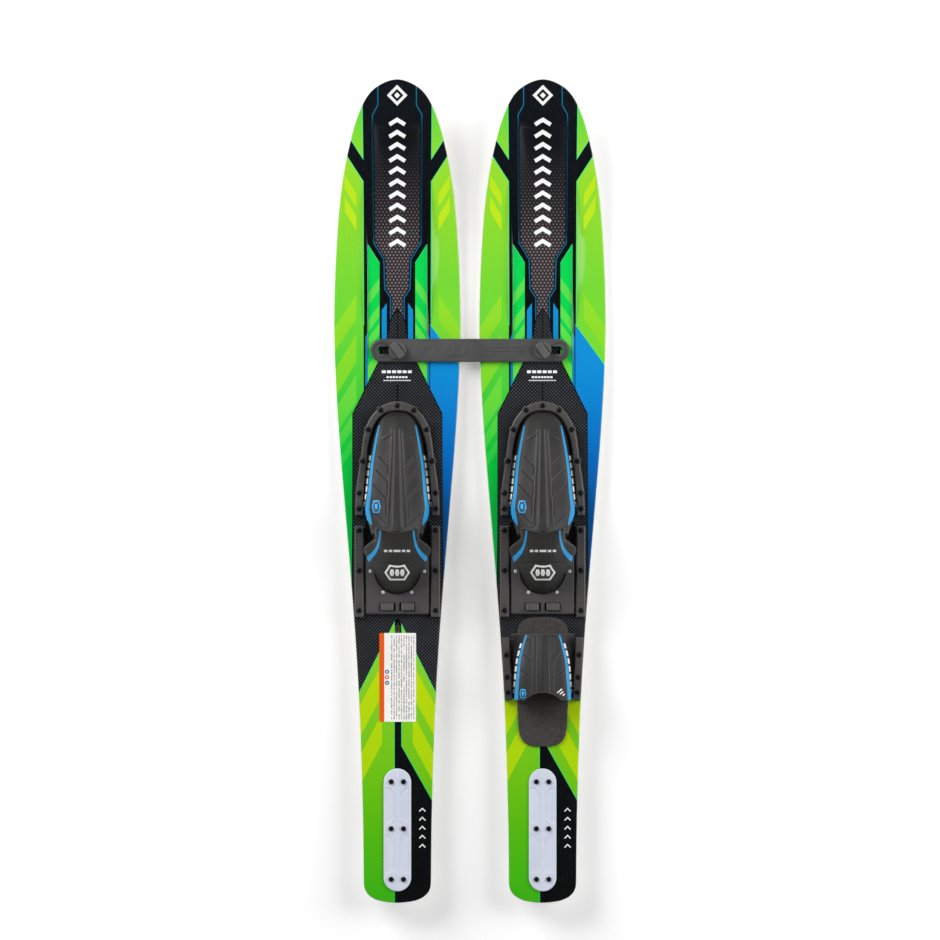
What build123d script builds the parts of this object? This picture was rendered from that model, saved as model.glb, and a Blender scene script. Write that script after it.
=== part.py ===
from build123d import *
import math
import os

# A pair of junior combination water skis, lying decks up, joined by a trainer bar.
# Each ski has a horseshoe-framed toe piece, a heel cup on a sliding carriage with two
# squeeze tabs, and a fin clamped to its tail. The right ski also has a rear toe strap.
# +X runs across the pair, +Y points to the tips and +Z is up. Lengths are millimetres.
# The origin is the middle of the pair, level with the lowest point of the fins.

# Driving dimensions
SKI_LENGTH = 1370.0
SKI_SPACING = 241.6
SKI_THICKNESS = 15.0
TIP_THICKNESS = 9.5
TIP_RISE = 80.0
ROCKER_START_Y = 270.0
FIN_DEPTH = 32.0
TOPSHEET = 0.8
EDGE_R = 3.0

BASE = FIN_DEPTH
DECK = BASE + SKI_THICKNESS
HALF_LENGTH = SKI_LENGTH / 2
SKI_X = SKI_SPACING / 2
SIDES = {"left": -1, "right": 1}
GAP = 0.3
RUNNING = 0.05

# Fasteners
SCREW_SHANK_R = 2.4
SCREW_HOLE_R = 2.6
SCREW_HEAD_R = 4.3
SCREW_HEAD_H = 2.8
INSERT_R = 3.75
INSERT_LENGTH = 10.0

# Plan positions on one ski, measured from its centre line, for the right-hand side
FRAME_SCREWS = [(27.4, 135.5), (48.3, 103.2), (57.2, 50.7), (63.0, -2.4), (63.7, -28.5)]
FRAME_FRONT_SCREW = (0.0, 143.0)
RAIL_SCREWS = [(63.5, -64.5), (63.5, -131.3), (63.5, -197.7)]
STRAP_SCREWS = [(60.4, -271.6), (58.8, -308.7), (57.6, -334.1)]
FIN_SCREWS = [(10.25, -482.6), (10.25, -560.6), (10.25, -644.8)]
SPARE_INSERT = (0.0, -227.0)
BAR_Y = 235.0

# Toe piece
FRAME_OUTER = [
    (69.8, -39.5),
    (68.6, 3.4),
    (62.8, 46.3),
    (59.0, 75.0),
    (52.5, 108.0),
    (40.0, 130.0),
    (25.5, 143.0),
]
FRAME_INNER = [
    (56.5, -39.5),
    (56.0, 3.4),
    (51.5, 46.3),
    (47.7, 75.0),
    (42.1, 99.4),
    (35.0, 116.5),
    (22.0, 129.5),
]
FRAME_BOSS_R = 7.0
FRAME_FRONT_Y = 150.5
FRAME_FRONT_INNER_Y = 134.5
FLANGE_H = 3.0
FRAME_H = 8.0
RUBBER = 4.0
WING_Z = 12.0

# Heel carriage and its rails, heights above the deck
RAIL_X = (56.0, 71.0)
RAIL_Y = (-208.4, -57.0)
RAIL_H = 11.0
CARRIAGE_REAR = -203.5
CARRIAGE_FRONT = -100.0
COVER_FRONT = -109.0
COVER_X = 52.3
BASE_PLATE_TOP = 3.0
CAVITY_TOP = 7.0
COVER_TOP = 9.5
HEEL_CENTRE_Y = -132.0
HEEL_R = 38.0
HEEL_RIVETS = [(44.9, -132.5), (23.4, -167.4)]
TAB_X = 17.2
TAB_Y = -191.5
TAB_SIZE = (21.6, 11.7)

# Trainer bar
BAR_LENGTH = 331.0
BAR_WIDTH = 38.5
BAR_H = 8.0
SLOT_W = 13.0
SLOT_TRAVEL = 27.0
BUSHING_R = 6.45
STUD_R = 4.0
BAR_INSERT_R = 6.5
BAR_INSERT_LENGTH = 12.0


def mirrored(points):
    """The points, and the same points on the other side of the centre line."""
    return points + [(-x, y) for x, y in points]


def box_between(low, high):
    """A box given by its lowest and highest corners."""
    size = [b - a for a, b in zip(low, high)]
    centre = [(a + b) / 2 for a, b in zip(low, high)]
    return Pos(*centre) * Box(*size)


def pillar(x, y, radius, z_low, z_high):
    """An upright cylinder."""
    return Pos(x, y, (z_low + z_high) / 2) * Cylinder(radius, z_high - z_low)


def drill(shape, places, radius, z_low, z_high):
    """The shape with a round hole at each place."""
    return shape - [pillar(x, y, radius, z_low, z_high) for x, y in places]


def upright(face, z_low, z_high):
    """A plan-view face drawn up from one height to another."""
    return extrude(Pos(0, 0, z_low) * face, z_high - z_low)


def edges_at(shape, z):
    """The edges that lie wholly at one height."""
    boxes = [(e, e.bounding_box()) for e in shape.edges()]
    return [e for e, box in boxes if abs(box.min.Z - z) < 0.01 and abs(box.max.Z - z) < 0.01]


# ---- Ski -----------------------------------------------------------------------------


def base_height(y):
    """Height of the running base at y."""
    lift = max(0.0, y - ROCKER_START_Y) / (HALF_LENGTH - ROCKER_START_Y)
    return BASE + TIP_RISE * lift**2


def thickness(y):
    """Thickness of the ski at y."""
    lift = max(0.0, y - ROCKER_START_Y) / (HALF_LENGTH - ROCKER_START_Y)
    return SKI_THICKNESS + (TIP_THICKNESS - SKI_THICKNESS) * lift


# half width of the ski and its place along it, from the tail to the tip
SKI_EDGE = [
    (26.0, -682.3),
    (45.5, -674.0),
    (54.5, -663.0),
    (57.0, -645.0),
    (57.3, -590.0),
    (59.3, -490.0),
    (65.9, -320.0),
    (80.2, -120.0),
    (96.7, 79.0),
    (104.0, 200.0),
    (106.0, 290.0),
    (102.3, 400.0),
    (91.5, 518.0),
    (79.7, 578.0),
    (61.8, 635.0),
    (40.5, 668.0),
    (22.0, 679.5),
]


def ski_outline():
    """Plan of the ski: square-ish tail, widest ahead of the bar, round tip."""
    other = [(-x, y) for x, y in reversed(SKI_EDGE)]
    return make_face(Spline([(0, -HALF_LENGTH)] + SKI_EDGE + [(0, HALF_LENGTH)] + other, periodic=True))


def surface(share, offset):
    """Side-view curve of the rockered part: share is 0 on the base and 1 on the deck."""
    span = HALF_LENGTH + 15.0 - ROCKER_START_Y
    stations = [ROCKER_START_Y + span * i / 5 for i in range(6)]
    points = [(y, base_height(y) + share * thickness(y) + offset) for y in stations]
    return Spline(points, tangents=[(1, 0), (1, 0.4 - 0.01 * share)])


def band(low, high):
    """The space between two surfaces, each given as (share of the thickness, offset)."""
    lower, upper = surface(*low), surface(*high)
    tail_y = -HALF_LENGTH - 15.0
    floor_z = (lower @ 0).Y
    roof_z = (upper @ 0).Y
    outline = [
        Line((tail_y, floor_z), lower @ 0),
        lower,
        Line(lower @ 1, upper @ 1),
        upper,
        Line(upper @ 0, (tail_y, roof_z)),
        Line((tail_y, roof_z), (tail_y, floor_z)),
    ]
    return extrude(Plane.YZ * make_face(outline), 130, both=True)


def tunnel():
    """The shallow channel along the base, wider towards the front."""
    rear, front = (24.0, -HALF_LENGTH - 10), (38.0, 430.0)
    outline = [
        Line((-rear[0], rear[1]), (rear[0], rear[1])),
        Line(rear, front),
        ThreePointArc(front, (0, front[1] + 45), (-front[0], front[1])),
        Line((-front[0], front[1]), (-rear[0], rear[1])),
    ]
    return upright(make_face(outline), 0, 200) & band((0, -20.0), (0, 1.6))


def whole_ski():
    """The ski with its rounded edges, before the topsheet is split from it."""
    ski = upright(ski_outline(), 0, 180) & band((0, 0), (1, 0))
    rims = [e for e in ski.edges() if e.length > 300 and e.bounding_box().size.X > 50]
    return fillet(rims, EDGE_R)


def deck_holes(side):
    """Plan positions of every insert that a binding screw goes into."""
    places = mirrored(FRAME_SCREWS + RAIL_SCREWS) + [FRAME_FRONT_SCREW]
    if side == "right":
        places = places + mirrored(STRAP_SCREWS)
    return places


def ski_body(ski, side):
    """Core and base in one moulding, drilled for inserts and fin screws."""
    body = ski - band((1, -TOPSHEET), (1, 20)) - tunnel()
    places = deck_holes(side) + ([SPARE_INSERT] if side == "left" else [])
    body = drill(body, places, INSERT_R + 0.03, DECK - INSERT_LENGTH, DECK + 1)
    body = drill(body, mirrored(FIN_SCREWS), SCREW_HOLE_R, 0, DECK + 1)
    return drill(body, [(0, BAR_Y)], BAR_INSERT_R + 0.03, DECK - BAR_INSERT_LENGTH, DECK + 1)


def topsheet(ski, side):
    """The printed sheet bonded over the deck."""
    sheet = ski & band((1, -TOPSHEET), (1, 20))
    sheet = drill(sheet, deck_holes(side) + mirrored(FIN_SCREWS), SCREW_HOLE_R, DECK - 5, DECK + 5)
    if side == "left":
        sheet = drill(sheet, [SPARE_INSERT], INSERT_R + 0.03, DECK - 5, DECK + 5)
    return drill(sheet, [(0, BAR_Y)], BAR_INSERT_R + 0.03, DECK - 5, DECK + 5)


def binding_inserts(side):
    """Brass inserts under the binding screws, and the bare one on the left ski."""
    top = DECK - TOPSHEET
    inserts = [
        pillar(x, y, INSERT_R, DECK - INSERT_LENGTH, top)
        - pillar(x, y, SCREW_SHANK_R + 0.05, DECK - INSERT_LENGTH, top)
        for x, y in deck_holes(side)
    ]
    if side == "left":
        x, y = SPARE_INSERT
        bare = pillar(x, y, INSERT_R, DECK - INSERT_LENGTH, DECK)
        inserts.append(bare - pillar(x, y, 2.1, DECK - INSERT_LENGTH, DECK))
    return Compound(inserts)


def bar_insert():
    """The large threaded insert for the trainer bar's thumbscrew."""
    low = DECK - BAR_INSERT_LENGTH
    return pillar(0, BAR_Y, BAR_INSERT_R, low, DECK) - pillar(0, BAR_Y, STUD_R + RUNNING, low, DECK)


def screw(x, y, seat_z, length):
    """A pan-head screw with a cross recess, its head seated at seat_z."""
    head = Pos(x, y, seat_z + SCREW_HEAD_H / 2) * Cylinder(SCREW_HEAD_R, SCREW_HEAD_H)
    head = fillet(edges_at(head, seat_z + SCREW_HEAD_H), 1.3)
    recess_z = seat_z + SCREW_HEAD_H - 0.7
    for size in ((4.6, 1.1), (1.1, 4.6)):
        head = head - Pos(x, y, recess_z) * Box(*size, 1.6)
    return head + pillar(x, y, SCREW_SHANK_R, seat_z - length, seat_z)


# ---- Fin -----------------------------------------------------------------------------

FIN_PLATE_Y = (-665.0, -460.6)
FIN_PLATE_W = 46.0


def fin_plan():
    """Round-ended plan shared by the fin's flange and its deck plate."""
    length = FIN_PLATE_Y[1] - FIN_PLATE_Y[0]
    return Pos(0, sum(FIN_PLATE_Y) / 2) * Rot(0, 0, 90) * SlotOverall(length, FIN_PLATE_W)


def fin_deck_plate():
    """Plate on the deck, with a raised centre rib that spreads out to the screws."""
    plate = upright(fin_plan(), DECK, DECK + 3.2)
    plate = fillet(edges_at(plate, DECK + 3.2), 1.2)
    rows = [y for _, y in FIN_SCREWS]
    for low, high in ((rows[1] + 10, rows[0] - 9), (rows[2] + 11, rows[1] - 10)):
        for side in (-1, 1):
            pocket = [
                (side * 4.8, low + 7),
                (side * 4.8, high - 12),
                (side * 14.0, high),
                (side * 20.5, high),
                (side * 20.5, low),
                (side * 14.0, low),
            ]
            plate = plate - upright(make_face(Polyline(pocket, close=True)), DECK + 2.6, DECK + 4)
    ridge = box_between((-0.5, FIN_PLATE_Y[0] + 6, DECK + 3.0), (0.5, FIN_PLATE_Y[1] - 6, DECK + 3.6))
    return drill(plate + ridge, mirrored(FIN_SCREWS), SCREW_HOLE_R, DECK, DECK + 5)


def fin():
    """Keel fin under the tail, with a screw boss for each deck screw."""
    flange = upright(fin_plan(), BASE - 3.5, BASE)
    bosses = [pillar(x, y, 5.2, BASE - 9, BASE - 3.5) for x, y in mirrored(FIN_SCREWS)]
    root = BASE - 3.0
    leading = [(-474, root), (-505, root - 12), (-540, root - 23), (-582, 0.0)]
    blade = [
        Spline(leading, tangents=[(-1, -0.3), (-1, 0)]),
        Line((-582, 0.0), (-640, 0.0)),
        Spline([(-640, 0.0), (-652, root - 18), (-656, root)], tangents=[(-1, 0.1), (-0.2, 1)]),
        Line((-656, root), (-474, root)),
    ]
    keel = extrude(Plane.YZ * make_face(blade), 2.4, both=True)
    solid = flange + bosses + keel
    solid = drill(solid, mirrored(FIN_SCREWS), SCREW_SHANK_R + 0.03, BASE - 8, BASE)
    channel = tunnel() & upright(fin_plan(), BASE - 1, BASE + 3)
    return drill(solid + channel, mirrored(FIN_SCREWS), SCREW_SHANK_R + 0.03, BASE - 8, BASE + 3)


# ---- Toe piece -----------------------------------------------------------------------


def horseshoe(outer, inner, outer_front, inner_front, end_y):
    """A U-shaped plan between an outer and an inner line, open at the rear."""
    outer_line = Spline(outer + [(0, outer_front)] + [(-x, y) for x, y in reversed(outer)])
    inner_line = Spline(inner + [(0, inner_front)] + [(-x, y) for x, y in reversed(inner)])
    right = Line(outer_line @ 0, inner_line @ 0)
    left = Line(outer_line @ 1, inner_line @ 1)
    return make_face([outer_line, inner_line, right, left])


def frame_boss(x, y):
    """Round boss that stands around one screw of the frame."""
    top = DECK + FLANGE_H + FRAME_H - 0.4
    boss = pillar(x, y, FRAME_BOSS_R, DECK + FLANGE_H, top)
    return fillet(edges_at(boss, top), 1.0)


def toe_frame():
    """The hard horseshoe that clamps the toe overlay to the deck."""
    top = DECK + FLANGE_H + FRAME_H
    plan = horseshoe(FRAME_OUTER, FRAME_INNER, FRAME_FRONT_Y, FRAME_FRONT_INNER_Y, -39.5)
    frame = upright(plan, DECK + FLANGE_H, top)
    frame = fillet(edges_at(frame, top), 3.0)
    places = mirrored(FRAME_SCREWS) + [FRAME_FRONT_SCREW]
    frame = frame + [frame_boss(x, y) for x, y in places]
    frame = drill(frame, places, SCREW_HEAD_R + 0.6, top - 2.2, top + 1)
    return drill(frame, places, SCREW_HOLE_R, DECK, top + 1)


def arch(y, base_w, shoulder_w, shoulder_z, crown_z, floor_z):
    """A closed cross-section across the ski: steep sides, rounded shoulders, low crown."""
    half = [
        (base_w, floor_z),
        (base_w * 0.45 + shoulder_w * 0.55, shoulder_z * 0.55),
        (shoulder_w, shoulder_z),
        (shoulder_w * 0.55, shoulder_z * 0.35 + crown_z * 0.65),
    ]
    points = [(x, y, DECK + z) for x, z in half] + [(0, y, DECK + crown_z)]
    points += [(-x, y, DECK + z) for x, z in reversed(half)]
    curve = Spline(points)
    return Wire([curve, Line(curve @ 1, curve @ 0)])


# y, half width at the deck, half width and height of the shoulder, height of the crown
TOE_SECTIONS = [
    (130.0, 18.0, 13.0, 8.0, 10.0),
    (121.0, 29.5, 24.0, 17.0, 21.0),
    (104.0, 39.0, 31.5, 26.0, 31.0),
    (75.0, 46.0, 37.0, 33.0, 41.0),
    (20.0, 53.0, 45.5, 43.0, 55.0),
    (-34.0, 54.5, 50.0, 50.0, 67.0),
    (-58.0, 47.0, 44.0, 52.0, 73.0),
    (-90.0, 46.0, 42.0, 52.0, 74.0),
]


def room_under(sections, front_shift, rear_shift):
    """The space one wall inside the sections, its first and last section moved along."""
    inner = []
    last = len(sections) - 1
    for i, (y, base_w, shoulder_w, shoulder_z, crown_z) in enumerate(sections):
        place = y + (front_shift if i == 0 else 0) + (rear_shift if i == last else 0)
        heights = (max(2.0, shoulder_z - RUBBER), max(3.0, crown_z - RUBBER))
        inner.append(arch(place, base_w - RUBBER, shoulder_w - RUBBER, *heights, -0.5))
    return Solid.make_loft(inner)


def shell(sections, front_shift, rear_shift):
    """A rubber shell over the sections."""
    outer = Solid.make_loft([arch(*s, 0.0) for s in sections])
    return outer - room_under(sections, front_shift, rear_shift)


def toe_overlay():
    """Rubber vamp: a hollow shell open at the rear, with a flange under the frame."""
    vamp = shell(TOE_SECTIONS, -RUBBER, -5)
    rear = [(-200, -5), (-80, -5), (-80, DECK), (-62, DECK + 90), (-200, DECK + 90)]
    vamp = vamp - extrude(Plane.YZ * make_face(Polyline(rear, close=True)), 100, both=True)
    vamp = vamp - box_between((-80, -120, DECK - 5), (80, -39.5, DECK + WING_Z))
    outer = [(x - 0.5, y) for x, y in FRAME_OUTER]
    inner = [(x - 8, y) for x, y in FRAME_INNER]
    plan = horseshoe(outer, inner, FRAME_FRONT_Y - 0.5, FRAME_FRONT_INNER_Y - 8, -39.5)
    flange = upright(plan, DECK, DECK + FLANGE_H)
    solid = vamp + (flange - room_under(TOE_SECTIONS, 0, 0))
    places = mirrored(FRAME_SCREWS) + [FRAME_FRONT_SCREW]
    return drill(solid, places, SCREW_HOLE_R, DECK - 1, DECK + FLANGE_H + 1)


def footbed():
    """Foam pad on the deck inside the toe piece."""
    side = [(40.0, -58.0), (45.5, -34.0), (44.5, 20.0), (38.5, 75.0), (31.0, 104.0), (18.0, 117.0)]
    line = Spline(side + [(0, 121.0)] + [(-x, y) for x, y in reversed(side)])
    pad = upright(make_face([line, Line(line @ 1, line @ 0)]), DECK, DECK + 4.0)
    return chamfer(edges_at(pad, DECK + 4.0), 0.8)


# ---- Heel carriage -------------------------------------------------------------------


def rail(side):
    """Guide rail with an undercut for the carriage and a toothed rack facing it."""
    low, high = RAIL_X
    bar = box_between((low, RAIL_Y[0], DECK), (high, RAIL_Y[1], DECK + RAIL_H))
    bar = fillet([e for e in bar.edges() if abs(e.center().Z - DECK - RAIL_H) < 0.01], 2.2)
    bar = bar - box_between((low - 1, RAIL_Y[0] - 1, DECK - 1), (low + 4.4, RAIL_Y[1] + 1, DECK + 3.7))
    pitch = 5.0
    for i in range(10):
        y = RAIL_Y[0] + 6 + pitch * i
        corners = [(low + 0.1, y), (low - 1.4, y + pitch / 2), (low + 0.1, y + pitch)]
        tooth = make_face(Polyline(corners, close=True))
        bar = bar + upright(tooth, DECK + 4.2, DECK + 7.6)
    bar = drill(bar, RAIL_SCREWS, SCREW_HEAD_R + 0.6, DECK + RAIL_H - 2.2, DECK + RAIL_H + 1)
    bar = drill(bar, RAIL_SCREWS, SCREW_HOLE_R, DECK - 1, DECK + RAIL_H + 1)
    return bar if side > 0 else mirror(bar, Plane.YZ)


def carriage_base():
    """Lower plate of the carriage, whose edges run in the rails' undercuts."""
    plate = box_between((-59.8, CARRIAGE_REAR, DECK + GAP), (59.8, CARRIAGE_FRONT, DECK + BASE_PLATE_TOP))
    plate = fillet([e for e in plate.edges() if e.length < 4], 3 - GAP)
    return drill(plate, mirrored(HEEL_RIVETS), 2.05, DECK - 1, DECK + 10)


def heel_cutout(radius):
    """Plan of the opening the heel cup stands in: round at the back, open in front."""
    back = Pos(0, HEEL_CENTRE_Y) * Circle(radius)
    legs = Pos(0, HEEL_CENTRE_Y + 30) * Rectangle(2 * radius, 60)
    return back + legs


def carriage_cover():
    """Upper plate of the carriage: a shallow cap over the heel flange and the tabs."""
    low, top = DECK + BASE_PLATE_TOP, DECK + COVER_TOP
    cover = box_between((-COVER_X, CARRIAGE_REAR, low), (COVER_X, COVER_FRONT, top))
    corners = [e for e in cover.edges() if abs(e.length - (top - low)) < 0.01]
    cover = fillet(corners, 3.0)
    cover = fillet(edges_at(cover, top), 1.6)
    wall = 1.9
    cavity_low, cavity_high = (-COVER_X + wall, CARRIAGE_REAR + wall), (COVER_X - wall, COVER_FRONT + 1)
    cover = cover - box_between((*cavity_low, low - 1), (*cavity_high, DECK + CAVITY_TOP))
    cover = cover - upright(heel_cutout(HEEL_R + 0.6), low - 1, top + 1)
    for side in (-1, 1):
        near, far = 3.2, TAB_X + TAB_SIZE[0] / 2 + 1.6
        slot_low = (min(side * near, side * far), TAB_Y - 6.9, DECK + 5)
        slot_high = (max(side * near, side * far), TAB_Y + 6.9, top + 1)
        cover = cover - box_between(slot_low, slot_high)
        notch_x = sorted((side * (COVER_X - 3), side * (COVER_X + 1)))
        near, far = (notch_x[0], TAB_Y - 4, low - 1), (notch_x[1], TAB_Y + 4, DECK + CAVITY_TOP)
        cover = cover - box_between(near, far)
    post = box_between((-1.0, TAB_Y - 5, low), (1.0, TAB_Y + 5, DECK + CAVITY_TOP + 0.5))
    return drill(cover + post, mirrored(HEEL_RIVETS), 2.05, DECK - 1, top + 1)


# height above the deck, back y, half width behind, front y, half width in front
HEEL_SECTIONS = [
    (3.0, -170.0, 38.0, -122.0, 38.0),
    (12.0, -169.0, 38.0, -119.0, 38.2),
    (30.0, -158.0, 38.0, -107.0, 49.0),
    (46.0, -141.0, 37.5, -95.0, 56.0),
    (64.0, -120.0, 36.5, -82.0, 43.5),
    (84.0, -97.0, 35.0, -70.0, 38.5),
    (106.0, -66.5, 34.0, -57.5, 36.0),
]


def heel_section(z, back_y, half_w, front_y, front_w, inset, reach):
    """A closed U-shaped plan at one height, its front closed by a straight line."""
    depth = front_y + reach - back_y - inset
    side = []
    for turn in (0, 25, 48, 70):
        across, along = math.cos(math.radians(turn)), math.sin(math.radians(turn))
        width = half_w - inset + (front_w - half_w) * (1 - along)
        side.append((width * across**0.95, front_y + reach - depth * along**0.95))
    points = side + [(0, back_y + inset)] + [(-x, y) for x, y in reversed(side)]
    curve = Spline([(x, y, DECK + z) for x, y in points])
    return Wire([curve, Line(curve @ 1, curve @ 0)])


def heel_cup():
    """Rubber heel: a forward-leaning half cup on a flange held between the plates."""
    outer = Solid.make_loft([heel_section(*s, 0, 0) for s in HEEL_SECTIONS])
    inner = []
    for i, (z, *rest) in enumerate(HEEL_SECTIONS):
        lift = -2.0 if i == 0 else (2.0 if i == len(HEEL_SECTIONS) - 1 else 0.0)
        inner.append(heel_section(z + lift, *rest, RUBBER, 12))
    low, top = DECK + BASE_PLATE_TOP, DECK + CAVITY_TOP
    ring = upright(heel_cutout(49.0), low, top) - upright(heel_cutout(HEEL_R - RUBBER), low, top)
    ring = ring & box_between((-49, HEEL_CENTRE_Y - 60, low), (49, HEEL_CENTRE_Y + 18, top))
    cup = (outer - Solid.make_loft(inner)) + ring
    return drill(cup, mirrored(HEEL_RIVETS), 2.05, DECK, DECK + 10)


def heel_pad():
    """Foam pad on the carriage inside the heel cup."""
    radius = HEEL_R - RUBBER - 5.5
    low, top = DECK + BASE_PLATE_TOP, DECK + CAVITY_TOP
    pad = upright(heel_cutout(radius), low, top)
    pad = pad & box_between((-radius, HEEL_CENTRE_Y - 60, low), (radius, CARRIAGE_FRONT - 1, top))
    return chamfer(edges_at(pad, top), 0.8)


def heel_rivet(x, y):
    """A domed rivet through both plates and the heel flange."""
    top = DECK + COVER_TOP
    head = pillar(x, y, 2.9, top, top + 1.3)
    head = fillet(edges_at(head, top + 1.3), 1.0)
    return head + pillar(x, y, 2.0, DECK + GAP, top)


def release_tab(side):
    """Squeeze tab with a pointed pawl on its outer end and a channel for its spring."""
    width, depth = TAB_SIZE
    inner, outer = TAB_X - width / 2, TAB_X + width / 2
    button = box_between((inner, TAB_Y - depth / 2, DECK + 6.0), (outer, TAB_Y + depth / 2, DECK + 13.5))
    button = fillet([e for e in button.edges() if e.center().Z > DECK + 8], 1.5)
    for i in range(4):
        x = inner + width * (i + 1) / 5
        groove = box_between((x - 0.6, TAB_Y - depth, DECK + 13), (x + 0.6, TAB_Y + depth, DECK + 15))
        button = button - groove
    foot = box_between((inner, TAB_Y - 7.8, DECK + 3.3), (outer + 4, TAB_Y + 7.8, DECK + 6.7))
    foot = foot - box_between((inner - 1, TAB_Y - 1.7, DECK + 3), (inner + 9.6, TAB_Y + 1.7, DECK + 6.0))
    tip = RAIL_X[0] - 1.6
    arm_plan = [
        (outer + 2, TAB_Y - 3.2),
        (tip - 2.5, TAB_Y - 3.2),
        (tip, TAB_Y),
        (tip - 2.5, TAB_Y + 3.2),
        (outer + 2, TAB_Y + 3.2),
    ]
    arm = upright(make_face(Polyline(arm_plan, close=True)), DECK + 3.3, DECK + 6.7)
    tab = button + foot + arm
    return tab if side > 0 else mirror(tab, Plane.YZ)


def tab_spring(side):
    """Compression spring between the cover's centre post and the tab."""
    inner = TAB_X - TAB_SIZE[0] / 2
    start, end = 1.1, inner + 9.5
    wire_r, coil_r, turns = 0.22, 1.0, 8
    length = end - start - 2 * wire_r
    path = Helix(pitch=length / turns, height=length, radius=coil_r)
    section = Plane(origin=path @ 0, z_dir=path % 0) * Circle(wire_r)
    coil = sweep(section, path=path, is_frenet=True)
    coil = Pos(start + wire_r, TAB_Y, DECK + 4.65) * Rot(0, 90, 0) * coil
    return coil if side > 0 else mirror(coil, Plane.YZ)


# ---- Rear toe strap ------------------------------------------------------------------

# y, half width at the deck, half width and height of the shoulder, height of the crown
STRAP_SECTIONS = [
    (-236.0, 52.5, 28.5, 27.0, 33.0),
    (-260.0, 52.5, 34.0, 36.0, 44.0),
    (-295.0, 51.0, 40.0, 45.0, 54.0),
    (-346.0, 49.0, 44.0, 50.0, 62.0),
]


def strap_plate_plan(grow):
    """Plan of a side plate, which runs parallel to the edge of the ski."""
    centre, length, width = (59.2, -295.0), 106.0 + grow, 12.5 + grow
    return Pos(*centre) * Rot(0, 0, -2.6) * RectangleRounded(width, length, 2.5)


def strap_plate(side):
    """Hard side plate that clamps the strap's flange to the deck."""
    top = DECK + FLANGE_H + 7
    plate = upright(strap_plate_plan(0), DECK + FLANGE_H, top)
    plate = fillet(edges_at(plate, top), 1.8)
    plate = drill(plate, STRAP_SCREWS, SCREW_HEAD_R + 0.4, top - 2.2, top + 1)
    plate = drill(plate, STRAP_SCREWS, SCREW_HOLE_R, DECK, top + 1)
    return plate if side > 0 else mirror(plate, Plane.YZ)


def rear_strap():
    """Rubber arch over the rear foot, open at both ends, with a flange each side."""
    strap = shell(STRAP_SECTIONS, 5, -5)
    bite = Pos(0, -385.0) * Ellipse(46, 52)
    strap = strap - upright(bite, DECK + 5, DECK + 90)
    flange = upright(strap_plate_plan(-0.8), DECK, DECK + FLANGE_H)
    web = box_between((46.5, -343.0, DECK), (58.0, -246.0, DECK + FLANGE_H))
    half = (flange + web) - room_under(STRAP_SECTIONS, 5, -5)
    strap = strap + half + mirror(half, Plane.YZ)
    return drill(strap, mirrored(STRAP_SCREWS), SCREW_HOLE_R, DECK - 1, DECK + FLANGE_H + 1)


# half width of the rear foot's pad and its place along the ski, from the front back
REAR_PAD_EDGE = [
    (25.0, -211.0),
    (33.5, -215.5),
    (40.0, -223.5),
    (43.4, -238.0),
    (43.3, -290.0),
    (42.6, -348.0),
    (40.6, -387.0),
    (38.0, -405.0),
    (31.5, -416.5),
    (19.0, -422.5),
]


def rear_pad():
    """Textured foam pad that the rear foot stands on."""
    side = [(x, y) for x, y in reversed(REAR_PAD_EDGE)]
    other = [(-x, y) for x, y in REAR_PAD_EDGE]
    outline = Spline([(0, -424.5)] + side + [(0, -208.5)] + other, periodic=True)
    pad = upright(make_face(outline), DECK, DECK + 5.0)
    return fillet(edges_at(pad, DECK + 5.0), 1.5)


# ---- Trainer bar ---------------------------------------------------------------------


def trainer_bar():
    """Spacer bar with a slot at each end, so that the skis can be set closer or wider."""
    low, top = DECK + GAP, DECK + GAP + BAR_H
    bar = upright(Pos(0, BAR_Y) * SlotOverall(BAR_LENGTH, BAR_WIDTH), low, top)
    bar = fillet(edges_at(bar, top), 2.5)
    bar = fillet(edges_at(bar, low), 0.8)
    for side in (-1, 1):
        middle = side * (SKI_X + SLOT_TRAVEL / 2)
        slot = Pos(middle, BAR_Y) * SlotCenterToCenter(SLOT_TRAVEL, SLOT_W)
        bar = bar - upright(slot, low - 1, top + 1)
        end = side * (SKI_X + SLOT_TRAVEL)
        ring = pillar(end, BAR_Y, 12.4, top - 0.9, top + 1)
        bar = bar - (ring - pillar(end, BAR_Y, 11.0, top - 2, top + 1))
    # plain raised strips along the middle
    for y, x_low, x_high in ((6.0, 22.0, 88.0), (0.0, 22.0, 88.0), (-6.0, 22.0, 88.0)):
        strip = box_between((x_low, BAR_Y + y - 1.0, top - 0.5), (x_high, BAR_Y + y + 1.0, top + 0.6))
        bar = bar + strip
    for i in range(5):
        x = -86.0 + i * 17.0
        block = [(x, -7.0), (x + 9.0, -7.0), (x + 13.0, 7.0), (x + 4.0, 7.0)]
        bar = bar + upright(Pos(0, BAR_Y) * make_face(Polyline(block, close=True)), top - 0.5, top + 0.6)
    return bar


def bushing(side):
    """Flanged sleeve that runs in the slot and turns on the thumbscrew."""
    x = side * SKI_X
    sleeve = pillar(x, BAR_Y, BUSHING_R, DECK + 0.2, DECK + 9.2)
    flange = pillar(x, BAR_Y, 13.0, DECK + 9.2, DECK + 10.4)
    return sleeve + flange - pillar(x, BAR_Y, STUD_R + RUNNING, DECK, DECK + 12)


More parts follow.
